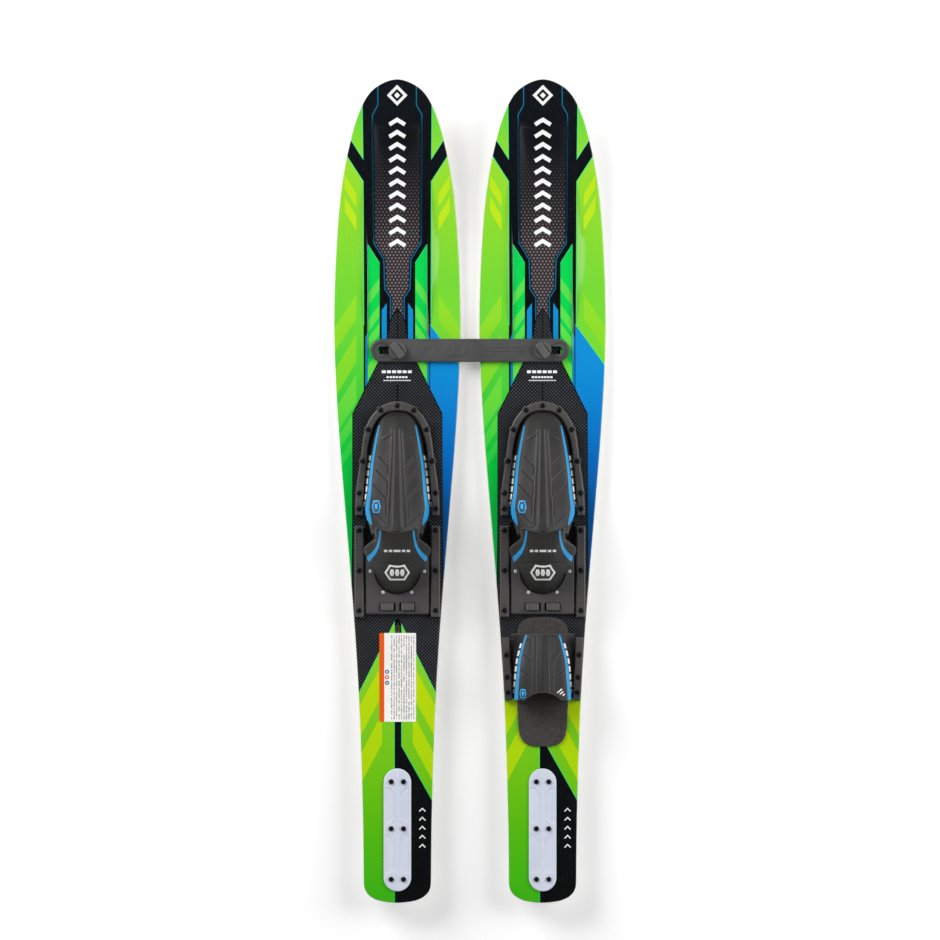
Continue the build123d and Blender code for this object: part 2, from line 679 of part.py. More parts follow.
def knob_head(side):
    """Thumbscrew head: a disc with a raised grip across it."""
    x = side * SKI_X
    low = DECK + 10.6
    disc = pillar(x, BAR_Y, 14.5, low, low + 6.0)
    disc = fillet(edges_at(disc, low + 6.0), 1.2)
    disc = disc - Pos(x, BAR_Y, low + 5.5) * Rot(0, 0, -53) * Box(32.0, 15.9, 4.0)
    grip = Pos(x, BAR_Y, low + 8.0) * Rot(0, 0, -53) * Box(32.0, 12.7, 12.0)
    grip = grip & pillar(x, BAR_Y, 14.2, low, low + 20)
    grip = fillet(edges_at(grip, low + 14.0), 1.6)
    return disc + grip - pillar(x, BAR_Y, STUD_R + 0.02, low - 1, low + 9)


def knob_stud(side):
    """Threaded stud moulded into the knob."""
    return pillar(side * SKI_X, BAR_Y, STUD_R, DECK - 11, DECK + 19.6)


def care_label():
    """Blank care sticker on the left ski's deck."""
    plan = Pos(0.5, -309.0) * RectangleRounded(61, 147.7, 1.5)
    return upright(plan, DECK, DECK + 0.25)


# ---- Assembly ------------------------------------------------------------------------


def screws(places, seat_z, length):
    """The same screw at each place."""
    return Compound([screw(x, y, seat_z, length) for x, y in places])


def ski_parts(side):
    """Every piece of one ski, on that ski's own centre line."""
    ski = whole_ski()
    sign = SIDES[side]
    frame_seat = DECK + FLANGE_H + FRAME_H - 2.2
    parts = {
        "ski_core": ski_body(ski, side),
        "topsheet": topsheet(ski, side),
        "bar_insert": bar_insert(),
        "binding_inserts": binding_inserts(side),
        "fin": fin(),
        "fin_plate": fin_deck_plate(),
        "fin_screws": screws(mirrored(FIN_SCREWS), DECK + 3.2, 25.0),
        "footbed": footbed(),
        "toe_frame": toe_frame(),
        "toe_overlay": toe_overlay(),
        "toe_frame_screws": screws(mirrored(FRAME_SCREWS) + [FRAME_FRONT_SCREW], frame_seat, 17.0),
        "rail_screws": screws(mirrored(RAIL_SCREWS), DECK + RAIL_H - 2.2, 17.0),
        "carriage_base": carriage_base(),
        "carriage_cover": carriage_cover(),
        "heel_cup": heel_cup(),
        "heel_pad": heel_pad(),
        "heel_rivets": Compound([heel_rivet(x, y) for x, y in mirrored(HEEL_RIVETS)]),
    }
    for place, way in (("outer", sign), ("inner", -sign)):
        parts[f"rail_{place}"] = rail(way)
        parts[f"release_tab_{place}"] = release_tab(way)
        parts[f"tab_spring_{place}"] = tab_spring(way)
    return parts


def rear_toe_parts():
    """The rear toe strap of the right ski, on that ski's own centre line."""
    return {
        "rear_pad": rear_pad(),
        "rear_strap": rear_strap(),
        "rear_plate_outer": strap_plate(1),
        "rear_plate_inner": strap_plate(-1),
        "rear_screws": screws(mirrored(STRAP_SCREWS), DECK + FLANGE_H + 4.8, 16.0),
    }


def all_parts():
    """Every piece of the pair, in place."""
    placed = {"trainer_bar": trainer_bar()}
    for side, sign in SIDES.items():
        shift = Pos(sign * SKI_X, 0, 0)
        for name, shape in ski_parts(side).items():
            placed[f"{side}_{name}"] = shift * shape
        placed[f"{side}_bushing"] = bushing(sign)
        placed[f"{side}_knob"] = knob_head(sign)
        placed[f"{side}_knob_stud"] = knob_stud(sign)
    for name, shape in rear_toe_parts().items():
        placed[name] = Pos(SKI_X, 0, 0) * shape
    placed["care_label"] = Pos(-SKI_X, 0, 0) * care_label()
    return placed


os.makedirs("parts", exist_ok=True)
for name, shape in all_parts().items():
    export_step(shape, f"parts/{name}.step")
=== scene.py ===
"""Looks of the water ski pair: printed decks, rubber boots, foam pads and hardware."""

import math

import bmesh
import bpy
import numpy as np
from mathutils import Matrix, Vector
from mathutils.bvhtree import BVHTree
from mathutils.geometry import delaunay_2d_cdt


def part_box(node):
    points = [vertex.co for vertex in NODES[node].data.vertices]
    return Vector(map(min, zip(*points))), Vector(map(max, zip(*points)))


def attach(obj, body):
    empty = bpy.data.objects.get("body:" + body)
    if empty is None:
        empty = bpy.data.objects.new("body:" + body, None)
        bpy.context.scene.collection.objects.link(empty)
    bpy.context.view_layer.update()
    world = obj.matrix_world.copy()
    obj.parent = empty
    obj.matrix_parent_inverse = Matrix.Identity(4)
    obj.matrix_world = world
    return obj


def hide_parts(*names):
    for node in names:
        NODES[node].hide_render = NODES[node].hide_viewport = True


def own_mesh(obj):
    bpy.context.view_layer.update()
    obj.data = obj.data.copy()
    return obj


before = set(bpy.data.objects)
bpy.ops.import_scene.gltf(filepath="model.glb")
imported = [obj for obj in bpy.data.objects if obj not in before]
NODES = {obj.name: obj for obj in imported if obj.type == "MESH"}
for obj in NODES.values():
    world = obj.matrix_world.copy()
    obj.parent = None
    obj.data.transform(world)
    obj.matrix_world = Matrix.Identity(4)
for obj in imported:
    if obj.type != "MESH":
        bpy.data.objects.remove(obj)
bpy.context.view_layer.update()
MM = 0.001
SIDES = ("left", "right")
TAIL_Y, TIP_Y = -0.69, 0.69


def middle(node):
    """The middle of a CAD node's box."""
    low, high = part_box(node)
    return (low + high) / 2


SKI_X = {side: middle(f"{side}_ski_core").x for side in SIDES}
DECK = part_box("left_footbed")[0].z
BAR_Y = middle("trainer_bar").y
SHELL_AXIS_Z = DECK + 8 * MM


# ---- Node materials ------------------------------------------------------------------


def linear(rgb):
    """A linear colour from red, green and blue on the usual 0 to 255 scale."""
    values = [c / 255 for c in rgb]
    return [c / 12.92 if c < 0.04045 else ((c + 0.055) / 1.055) ** 2.4 for c in values] + [1.0]


class Look:
    """A material under construction, with short ways to add and join its nodes."""

    def __init__(self, name):
        self.material = bpy.data.materials.new(name)
        self.material.use_nodes = True
        self.tree = self.material.node_tree
        self.shader = self.tree.nodes["Principled BSDF"]
        place = self.node("ShaderNodeTexCoord").outputs["Object"]
        self.place = place
        split = self.node("ShaderNodeSeparateXYZ", Vector=place)
        self.x, self.y, self.z = split.outputs

    def node(self, kind, settings=None, **inputs):
        made = self.tree.nodes.new(kind)
        for name, value in (settings or {}).items():
            setattr(made, name, value)
        for name, value in inputs.items():
            self.feed(made.inputs[name.replace("_", " ")], value)
        return made

    def feed(self, socket, value):
        if isinstance(value, bpy.types.NodeSocket):
            self.tree.links.new(value, socket)
        else:
            socket.default_value = value

    def math(self, operation, *values):
        made = self.node("ShaderNodeMath", {"operation": operation})
        for socket, value in zip(made.inputs, values):
            self.feed(socket, value)
        return made.outputs[0]

    def scaled(self, value, low, high, new_low=0.0, new_high=1.0):
        """value moved from one range to another, and kept inside it."""
        made = self.node("ShaderNodeMapRange", {"clamp": True}, Value=value)
        ends = {"From Min": low, "From Max": high, "To Min": new_low, "To Max": new_high}
        for name, number in ends.items():
            self.feed(made.inputs[name], number)
        return made.outputs[0]

    def noise(self, size, detail=3.0, stretch=(1, 1, 1)):
        """Soft noise from 0 to 1 whose features are about size metres across."""
        place = self.node("ShaderNodeVectorMath", {"operation": "MULTIPLY"}).outputs[0]
        self.feed(place.node.inputs[0], self.place)
        self.feed(place.node.inputs[1], [s / size for s in stretch])
        return self.node("ShaderNodeTexNoise", Vector=place, Scale=1.0, Detail=detail).outputs["Fac"]

    def mix(self, share, first, second):
        """A colour between two, each a socket or a linear colour."""
        made = self.node("ShaderNodeMix", {"data_type": "RGBA"})
        colours = [s for s in made.inputs if s.type == "RGBA"]
        self.feed(made.inputs[0], share)
        self.feed(colours[0], first)
        self.feed(colours[1], second)
        return [s for s in made.outputs if s.type == "RGBA"][0]

    def ramp(self, value, stops):
        """A colour picked by value from (position, colour) stops, position 0 to 1."""
        made = self.node("ShaderNodeValToRGB", Fac=value)
        band = made.color_ramp
        while len(band.elements) < len(stops):
            band.elements.new(0.5)
        for element, (position, colour) in zip(band.elements, sorted(stops)):
            element.position = position
            element.color = colour
        return made.outputs["Color"]

    def curve(self, value, low, high, points):
        """A smooth function of value given by points, in value's own units."""
        share = self.scaled(value, low, high)
        made = self.node("ShaderNodeFloatCurve", Value=share)
        top = max(v for _, v in points)
        line = made.mapping.curves[0]
        places = sorted(((p - low) / (high - low), v / top) for p, v in points)
        line.points[0].location, line.points[1].location = places[0], places[-1]
        for place in places[1:-1]:
            line.points.new(*place)
        made.mapping.update()
        return self.math("MULTIPLY", made.outputs[0], top)

    def bump(self, height, depth, strength=1.0):
        made = self.node("ShaderNodeBump", Height=height, Distance=depth, Strength=strength)
        self.feed(self.shader.inputs["Normal"], made.outputs[0])

    def finish(self, colour, roughness, **others):
        self.feed(self.shader.inputs["Base Color"], colour)
        self.feed(self.shader.inputs["Roughness"], roughness)
        for name, value in others.items():
            self.feed(self.shader.inputs[name.replace("_", " ")], value)
        return self.material


def moulded(name, rgb, rough=0.5, grain=0.5 * MM, depth=0.06 * MM, coat=0.0):
    """Moulded plastic: fine spark-eroded grain, cloudy gloss and slightly paler worn edges."""
    look = Look(name)
    base = linear(rgb)
    cloud = look.noise(30 * MM, 4)
    pale = [min(1.0, c * 1.5 + 0.01) for c in base[:3]] + [1.0]
    worn = look.scaled(look.node("ShaderNodeNewGeometry").outputs["Pointiness"], 0.51, 0.56, 0.0, 0.6)
    colour = look.mix(look.scaled(cloud, 0.3, 0.7, 0, 0.35), base, pale)
    colour = look.mix(worn, colour, pale)
    look.bump(look.noise(grain, 2), depth, 0.6)
    return look.finish(colour, look.scaled(cloud, 0.2, 0.8, rough - 0.08, rough + 0.1), Coat_Weight=coat)


def metal(name, rgb, rough=0.3, metallic=1.0):
    """Machined metal with fine turning marks and small dull spots."""
    look = Look(name)
    base = linear(rgb)
    dull = [c * 0.7 for c in base[:3]] + [1.0]
    spots = look.scaled(look.noise(2 * MM, 4), 0.45, 0.7)
    look.bump(look.noise(0.8 * MM, 2, (1, 1, 6)), 0.05 * MM, 0.5)
    shine = look.scaled(spots, 0, 1, rough, rough + 0.15)
    return look.finish(look.mix(spots, base, dull), shine, Metallic=metallic)


def printed(name, stops, gloss=0.2):
    """Printed film under clear gloss. stops are (y in millimetres, colour), tail to tip."""
    look = Look(name)
    places = sorted(((y * MM - TAIL_Y) / (TIP_Y - TAIL_Y), linear(rgb)) for y, rgb in stops)
    colour = look.ramp(look.scaled(look.y, TAIL_Y, TIP_Y), places)
    dust = look.scaled(look.noise(1.2 * MM, 4), 0.62, 0.75, 0, 0.06)
    colour = look.mix(dust, colour, linear((255, 255, 255)))
    look.bump(look.noise(2 * MM, 3), 0.02 * MM, 0.15)
    scuffs = look.scaled(look.noise(9 * MM, 6, (1, 0.15, 1)), 0.4, 0.75, gloss, gloss + 0.1)
    return look.finish(colour, scuffs, Coat_Weight=0.12, Coat_Roughness=0.25, Specular_IOR_Level=0.35)


EDGE_SOFTNESS = 0.25 * MM
HIVE_PITCH, HIVE_RADIUS = 5.9 * MM, 1.75 * MM
WEAVE_PITCH, FOAM_PITCH = 5.8 * MM, 1.5 * MM
DASH_PITCH, ROW_PITCH, RULE_PITCH = 13 * MM, 8 * MM, 4.1 * MM
INK_WHITE = linear((232, 234, 236))


def distance_to(look, dx, dy):
    """Length of a plan offset given by two sockets."""
    squares = look.math("MULTIPLY", dx, dx), look.math("MULTIPLY", dy, dy)
    return look.math("SQRT", look.math("ADD", *squares))


def dots(look, pitch, radius, half_step):
    """1 inside round dots on a lattice. half_step moves the lattice by half its pitch."""
    row = pitch * math.sqrt(3)
    shift = 0.5 if half_step else 0.0
    across = look.math("FRACT", look.math("ADD", look.math("DIVIDE", look.x, pitch), shift))
    along = look.math("FRACT", look.math("ADD", look.math("DIVIDE", look.y, row), shift))
    dx = look.math("MULTIPLY", look.math("SUBTRACT", across, 0.5), pitch)
    dy = look.math("MULTIPLY", look.math("SUBTRACT", along, 0.5), row)
    edge = look.math("DIVIDE", look.math("SUBTRACT", radius, distance_to(look, dx, dy)), EDGE_SOFTNESS)
    return look.math("MINIMUM", look.math("MAXIMUM", edge, 0.0), 1.0)


def honeycomb():
    """Grey dots in a hexagonal lattice that fade into black towards the tip."""
    look = Look("honeycomb_print")
    fade = look.scaled(look.y, 0.58, 0.40)
    radius = look.math("MULTIPLY", look.math("ADD", look.math("MULTIPLY", fade, 0.6), 0.4), HIVE_RADIUS)
    both = look.math("MAXIMUM", *(dots(look, HIVE_PITCH, radius, half) for half in (False, True)))
    share = look.math("MULTIPLY", both, look.math("ADD", look.math("MULTIPLY", fade, 0.9), 0.04))
    ground = look.mix(fade, linear((9, 15, 20)), linear((50, 44, 46)))
    look.bump(look.noise(2 * MM, 3), 0.02 * MM, 0.15)
    colour = look.mix(share, ground, linear((122, 113, 117)))
    return look.finish(colour, 0.25, Coat_Weight=0.12, Coat_Roughness=0.25)


def checks(look, pitch):
    """A smooth chequered pattern from -1 to 1."""
    turn = 2 * math.pi / pitch
    across = look.math("SINE", look.math("MULTIPLY", look.x, turn))
    along = look.math("SINE", look.math("MULTIPLY", look.y, turn))
    return look.math("MULTIPLY", across, along)


def woven():
    """Printed weave: small pale lozenges in alternate rows on black."""
    look = Look("weave_print")
    check = checks(look, WEAVE_PITCH)
    share = look.scaled(check, 0.12, 0.6)
    cloud = look.scaled(look.noise(45 * MM, 2), 0.3, 0.7, 0.6, 1.0)
    colour = look.mix(look.math("MULTIPLY", share, cloud), linear((3, 4, 7)), linear((92, 96, 102)))
    look.bump(check, 0.03 * MM, 0.4)
    return look.finish(colour, 0.28, Coat_Weight=0.3, Coat_Roughness=0.1)


def foam(name, rgb):
    """Closed-cell foam: fine pores over a faint cloth-like emboss."""
    look = Look(name)
    height = look.math("ADD", checks(look, FOAM_PITCH), look.noise(0.7 * MM, 3))
    base = linear(rgb)
    pale = [c * 2.4 for c in base[:3]] + [1.0]
    colour = look.mix(look.scaled(look.noise(2.6 * MM, 4), 0.38, 0.62), base, pale)
    look.bump(height, 0.15 * MM, 0.7)
    return look.finish(colour, 0.85, Sheen_Weight=0.15)


def side_x(look, centre_x):
    """Distance from a ski's centre line."""
    return look.math("ABSOLUTE", look.math("SUBTRACT", look.x, centre_x))


def within(look, value, middle_value, half):
    """1 where value lies within half of middle_value, with a soft edge."""
    off = look.math("ABSOLUTE", look.math("SUBTRACT", value, middle_value))
    edge = look.math("DIVIDE", look.math("SUBTRACT", half, off), EDGE_SOFTNESS)
    return look.math("MINIMUM", look.math("MAXIMUM", edge, 0.0), 1.0)


def boot_rubber(name, tone, centre_x, stripe, widths, dashes=None, line=None):
    """Black moulded rubber with blue stripes, painted shade in its creases, and paler edges that are
    partly wear and partly a painted highlight.

    stripe and widths give the stripe's distance from the centre line and its half width,
    as (y, value) points in millimetres. dashes is (y low, y high, offset, half width) for
    pale dashes beside the stripe, and line is (y, half width, x reach) for a row across."""
    look = Look(name)
    low, high = stripe[0][0] * MM, stripe[-1][0] * MM
    metres = [(y * MM, v * MM) for y, v in stripe]
    centre = look.curve(look.y, low, high, metres)
    half = look.curve(look.y, low, high, [(y * MM, v * MM) for y, v in widths])
    off = side_x(look, centre_x)
    inside = within(look, look.y, (low + high) / 2, (high - low) / 2)
    blue = look.math("MULTIPLY", within(look, off, centre, half), inside)
    base, pale = linear(tone), linear([c * 1.45 for c in tone])
    cloud = look.noise(26 * MM, 4)
    bend = look.node("ShaderNodeNewGeometry").outputs["Pointiness"]
    colour = look.mix(look.scaled(cloud, 0.3, 0.7, 0, 0.4), base, pale)
    # paler ridges and edges: partly worn rubber, partly a painted highlight
    colour = look.mix(look.scaled(bend, 0.505, 0.56, 0.0, 0.8), colour, linear((92, 90, 88)))
    # painted shade: near black mixed into hollows and creases, where shadow falls
    colour = look.mix(look.scaled(bend, 0.492, 0.44, 0.0, 0.9), colour, linear((8, 8, 8)))
    colour = look.mix(blue, colour, linear((4, 146, 206)))
    if dashes:
        dash_low, dash_high, offset, dash_half = (v * MM for v in dashes)
        beside = look.math("ADD", look.math("ADD", centre, half), offset)
        step = look.math("FRACT", look.math("DIVIDE", look.y, DASH_PITCH))
        gaps = look.math("LESS_THAN", step, 0.72)
        span = within(look, look.y, (dash_low + dash_high) / 2, (dash_high - dash_low) / 2)
        row = look.math("MULTIPLY", within(look, off, beside, dash_half), gaps)
        colour = look.mix(look.math("MULTIPLY", row, span), colour, INK_WHITE)
    if line:
        line_y, line_half, reach = (v * MM for v in line)
        step = look.math("FRACT", look.math("DIVIDE", off, ROW_PITCH))
        gaps = look.math("LESS_THAN", step, 0.7)
        row = look.math("MULTIPLY", within(look, look.y, line_y, line_half), gaps)
        row = look.math("MULTIPLY", row, look.math("LESS_THAN", off, reach))
        colour = look.mix(row, colour, INK_WHITE)
    look.bump(look.noise(0.9 * MM, 3), 0.08 * MM, 0.5)
    return look.finish(colour, look.scaled(cloud, 0.2, 0.8, 0.44, 0.6), Specular_IOR_Level=0.4)


def label_paper():
    """Blank care sticker: an orange band, plain rings and broken grey rules."""
    look = Look("care_label_vinyl")
    low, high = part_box("care_label")
    rule = look.math("FRACT", look.math("DIVIDE", look.x, RULE_PITCH))
    gaps = look.scaled(look.noise(3 * MM, 2), 0.4, 0.5)
    ink = look.math("MULTIPLY", look.math("LESS_THAN", rule, 0.45), gaps)
    field = look.math("GREATER_THAN", look.x, low.x + 18 * MM)
    margin = look.math("LESS_THAN", look.x, high.x - 3 * MM)
    ends = within(look, look.y, (low.y + high.y) / 2, (high.y - low.y) / 2 - 4 * MM)
    ink = look.math("MULTIPLY", look.math("MULTIPLY", ink, field), look.math("MULTIPLY", margin, ends))
    cloud = look.scaled(look.noise(20 * MM), 0.3, 0.7)
    paper = look.mix(cloud, linear((250, 249, 245)), linear((242, 241, 238)))
    colour = look.mix(look.math("MULTIPLY", ink, 0.8), paper, linear((104, 104, 106)))
    for y, rgb in ((-318, (22, 84, 150)), (-308.8, (214, 74, 66)), (-299.7, (22, 84, 150))):
        dx = look.math("SUBTRACT", look.x, low.x + 12.8 * MM)
        dy = look.math("SUBTRACT", look.y, y * MM)
        away = distance_to(look, dx, dy)
        colour = look.mix(within(look, away, 2.5 * MM, 1.1 * MM), colour, linear(rgb))
    band = look.math("LESS_THAN", look.x, low.x + 8.2 * MM)
    colour = look.mix(band, colour, linear((232, 92, 14)))
    look.bump(look.noise(12 * MM, 3), 0.2 * MM, 0.2)
    return look.finish(colour, 0.35, Coat_Weight=0.2)


def fin_plastic(name):
    """Translucent-looking white nylon with faint flow marks, and painted shade in its recesses."""
    look = Look(name)
    flow = look.noise(24 * MM, 4, (1, 0.25, 1))
    bend = look.node("ShaderNodeNewGeometry").outputs["Pointiness"]
    colour = look.mix(look.scaled(flow, 0.3, 0.7), linear((208, 214, 230)), linear((218, 223, 237)))
    # painted shade: a darker blue-grey mixed into hollows and grooves, where shadow falls
    colour = look.mix(look.scaled(bend, 0.494, 0.45, 0.0, 0.8), colour, linear((120, 124, 150)))
    look.bump(look.noise(1.4 * MM, 3), 0.05 * MM, 0.4)
    shine = look.scaled(flow, 0.2, 0.8, 0.28, 0.4)
    return look.finish(colour, shine, Subsurface_Weight=0.12, Subsurface_Scale=0.004)


# ---- Mesh helpers --------------------------------------------------------------------


def new_piece(name, vertices, faces, materials, indices=None, smooth=True):
    """A mesh object at the origin, its vertices in the row frame."""
    mesh = bpy.data.meshes.new(name)
    mesh.from_pydata([tuple(v) for v in vertices], [], faces)
    for material in materials:
        mesh.materials.append(material)
    if indices:
        mesh.polygons.foreach_set("material_index", indices)
    mesh.polygons.foreach_set("use_smooth", [smooth] * len(mesh.polygons))
    mesh.update()
    piece = bpy.data.objects.new(name, mesh)
    bpy.context.scene.collection.objects.link(piece)
    return piece


def apply_modifiers(piece):
    """Bakes the modifiers of a piece into its mesh."""
    graph = bpy.context.evaluated_depsgraph_get()
    baked = bpy.data.meshes.new_from_object(piece.evaluated_get(graph))
    piece.modifiers.clear()
    piece.data = baked


def remeshed(node, name, voxel):
    """A new piece with the CAD node's form on an even grid of small faces."""
    piece = bpy.data.objects.new(name, NODES[node].data.copy())
    bpy.context.scene.collection.objects.link(piece)
    remesh = piece.modifiers.new("remesh", "REMESH")
    remesh.mode = "VOXEL"
    remesh.voxel_size = voxel
    apply_modifiers(piece)
    smooth = piece.modifiers.new("smooth", "SMOOTH")
    smooth.factor = 0.5
    smooth.iterations = 2
    apply_modifiers(piece)
    piece.data.polygons.foreach_set("use_smooth", [True] * len(piece.data.polygons))
    piece.data.materials.clear()
    return piece


def cad_height(node):
    """A function giving a CAD node's upper surface at a point, with its normal."""
    mesh = NODES[node].data
    tree = BVHTree.FromPolygons([v.co for v in mesh.vertices], [p.vertices[:] for p in mesh.polygons])

    def cast(x, y):
        hit, normal, _, _ = tree.ray_cast(Vector((x, y, 1.0)), Vector((0, 0, -1)))
        return hit, normal

    return cast


def points_of(piece):
    values = np.zeros(len(piece.data.vertices) * 3)
    piece.data.vertices.foreach_get("co", values)
    return values.reshape(-1, 3)


def normals_of(piece):
    values = np.zeros(len(piece.data.vertices) * 3)
    piece.data.vertex_normals.foreach_get("vector", values)
    return values.reshape(-1, 3)


def push(piece, amount):
    """Moves each vertex along its normal by its own amount, in metres."""
    moved = points_of(piece) + normals_of(piece) * amount[:, None]
    piece.data.vertices.foreach_set("co", moved.ravel())
    piece.data.update()


def bell(value, width):
    """1 at 0, falling smoothly to 0 at width."""
    t = np.clip(1 - np.abs(value) / width, 0, 1)
    return t * t * (3 - 2 * t)


def near_line(x, y, points, width):
    """How near each point is to a polyline in plan: 1 on it, 0 at width from it."""
    best = np.zeros(len(x))
    for (x0, y0), (x1, y1) in zip(points, points[1:]):
        dx, dy = x1 - x0, y1 - y0
        t = np.clip(((x - x0) * dx + (y - y0) * dy) / (dx * dx + dy * dy), 0, 1)
        best = np.maximum(best, bell(np.hypot(x - x0 - t * dx, y - y0 - t * dy), width))
    return best


# ---- Deck graphics -------------------------------------------------------------------


def mirrored(points):
    """The outline's reflection in the centre line."""
    return [(-x, y) for x, y in points]


def slab(x0, high0, low0, x1, high1, low1):
    """A slanted bar between two uprights."""
    return [(x0, high0), (x1, high1), (x1, low1), (x0, low0)]


def stroke(points, width):
    """A closed outline of even width about an open polyline."""
    half = width / 2
    left, right = [], []
    for i, (x, y) in enumerate(points):
        before = points[max(i - 1, 0)]
        after = points[min(i + 1, len(points) - 1)]
        a = Vector((x - before[0], y - before[1])) if i else None
        b = Vector((after[0] - x, after[1] - y)) if i < len(points) - 1 else None
        a, b = (a or b).normalized(), (b or a).normalized()
        mean = (a + b).normalized()
        normal = Vector((-mean.y, mean.x)) * (half / max(0.3, mean.dot(a)))
        left.append((x + normal.x, y + normal.y))
        right.append((x - normal.x, y - normal.y))
    return left + right[::-1]


def pair(ink, points, width=None):
    """An outline, or a line of the given width, on both sides of the centre line."""
    return [(ink, stroke(side, width) if width else side) for side in (points, mirrored(points))]


def chevron(x, y, half, rise, width):
    """An upright chevron with its point towards the tip."""
    return stroke([(x - half, y), (x, y + rise), (x + half, y)], width)


def panel_art():
    """Coloured side panels of the deck, as (material, outline) in painting order."""
    art = []
    art += pair("lime_print", [(57.8, 710), (56.8, 552.6), (115, 643.4), (115, 710)])
    art.append(("lime_print", [(56.6, 515.4), (115, 605.6), (115, -250), (55.4, -250)]))
    art.append(("lime_to_green_print", [(-56.6, 515.4), (-115, 605.6), (-115, -250), (-55.4, -250)]))
    art += pair("yellow_print", slab(68.3, 495, 473, 87.4, 526, 504))
    art += pair("yellow_print", slab(68.3, 458, 434, 87.4, 491, 466))
    art += pair("yellow_print", slab(68.5, 328, 287, 112, 262, 221))
    art.append(("yellow_print", slab(-68.1, 262.6, 216, -108, 195, 150)))
    art.append(("pale_green_print", slab(-68.1, 195.7, 149.2, -106, 132, 88)))
    art.append(("pale_green_print", slab(-76, 127, 101, -100, 88, 65)))
    art.append(("pale_green_print", slab(-76, 86, 66, -98, 52, 34)))
    art.append(("blue_print", [(54.5, 278), (115, 194.5), (115, -250), (54.5, -250)]))
    art.append(("edge_print", stroke([(54.5, 278), (115, 194.5)], 1.0)))
    return art


BAR_DROP = 27


def centre_art():
    """Strips, lines and the honeycomb panel between the side panels."""
    art = pair("emerald_print", [(49.2, 411.3), (29.7, 380.1), (29.7, 160), (49.2, 160)])
    for high, low in ((356, 335.5), (311.7, 291), (281, 262), (236, 214)):
        art += pair("pale_green_print", slab(29.7, high, low, 49.2, high - BAR_DROP, low - BAR_DROP))
    art += pair("bright_blue_print", [(26, 302), (17.8, 313.9), (17.8, 220), (26, 220)])
    art += pair("bright_blue_print", [(53.2, 257), (50.0, 264), (50.0, 160), (53.2, 160)])
    art += pair("edge_print", [(55.9, 277), (56.6, 515.4), (85, 559.3)], 1.1)
    art += pair("edge_print", [(57.8, 645), (56.8, 552.6), (79, 587)], 1.1)
    art += pair("edge_print", [(49.2, 411.3), (49.2, 180)], 0.9)
    art += pair("edge_print", [(49.2, 411.3), (29.7, 380.1)], 0.9)
    hive = [(38, 605), (36.6, 414.5), (19.8, 387.5), (18.3, 338), (8.8, 324), (8.8, 287), (4.5, 295)]
    art.append(("honeycomb_print", hive + [(0, 303.7)] + mirrored(reversed(hive))))
    upper = [(32, 672), (32, 641), (41, 625), (39.3, 413.6)]
    lower = [(22.5, 386.5), (21, 337), (11.3, 323), (11.3, 281)]
    return art + pair("teal_print", upper + lower, 1.9)


def boot_panel_art():
    """The house-shaped weave panel under the boot, with its dark outline, and black patches painted as
    shade beside the heel cups.
    """
    roof = [(9, 290), (11.8, 281), (13.6, 266), (17, 254), (31.7, 213.7), (53.9, 168.6), (73.5, 129.5)]
    wall = [(73.9, -60), (75.5, -200), (75.5, -360)]
    half = roof + wall
    rim = [(x + 1.4, y + 0.8) for x, y in half]
    art = [("black_print", [(0, 305)] + rim + mirrored(reversed(rim)))]
    art.append(("weave_print", [(0, 302)] + half + mirrored(reversed(half))))
    # painted shade: black patches standing for the shadow in the gap under the heel cup and toe overlay
    art += pair("black_print", [(30, -50), (54, -50), (54, -108), (30, -108)])
    art.append(("black_print", stroke([(0, 300), (0, 255)], 1.2)))
    art.append(("black_print", stroke([(0, 180), (0, 150)], 1.8)))
    return art


def tail_art():
    """Green chevrons and the black centre stripe of the tail."""
    art = [
        ("black_print", [(0, -208), (80, -368), (80, -700), (-80, -700), (-80, -368)]),
        ("tail_green_print", [(-5, -217), (-80, -366), (-80, -700), (-5, -700)]),
        ("tail_green_print", [(7, -221), (80, -366), (80, -552), (7, -422.9)]),
    ]
    art += pair("tail_yellow_print", slab(30.2, -295.2, -347.9, 80, -388, -441))
    art += pair("tail_yellow_print", slab(25.6, -369, -419.5, 80, -472, -522))
    art.append(("edge_print", stroke([(-80, -367), (-5, -217), (-5, -700)], 1.2)))
    art.append(("edge_print", stroke([(80, -367), (7, -221), (7, -422.9), (62, -520.5)], 1.2)))
    return art


def mark_art():
    """Plain marks in place of lettering: a diamond, chevrons and bars."""
    art = []
    diamond = [(0, 674), (17, 657), (0, 640), (-17, 657)]
    art.append(("white_print", diamond))
    art.append(("black_print", [(0, 667.5), (10.5, 657), (0, 646.5), (-10.5, 657)]))
    art.append(("white_print", [(0, 662), (5, 657), (0, 652), (-5, 657)]))
    for i in range(11):
        art.append(("white_print", chevron(0, 409 + i * 20.0, 13, 8, 6.4)))
    for y, half, height, count in ((199.5, 26, 4.6, 6), (190.5, 18, 3.0, 7), (185.0, 23, 1.6, 13)):
        step = 2 * half / count
        for i in range(count):
            left, right = i * step - half, (i + 0.76) * step - half
            low, high = y - height / 2, y + height / 2
            art.append(("white_print", [(left, low), (right, low), (right, high), (left, high)]))
    for i in range(5):
        art.append(("white_print", chevron(41.5, -592 + i * 15.0, 5, 5, 1.8)))
    return art


def deck_art():
    return panel_art() + centre_art() + boot_panel_art() + tail_art() + mark_art()


RISE_START, RISE_LENGTH, TIP_RISE, TIP_THINNING = 0.270, 0.415, 0.080, 0.0055
EDGE_RADIUS, SHEET_INSET, SHEET_THICKNESS = 3.0, 0.96, 0.7 * MM
OUTLINE_ROWS, BISECTIONS, BEYOND_EDGE = 130, 9, 0.12
BAR_HOLE_RADIUS, BARE_INSERT_Y, BARE_INSERT_RADIUS = 6.6, -227.0, 3.8


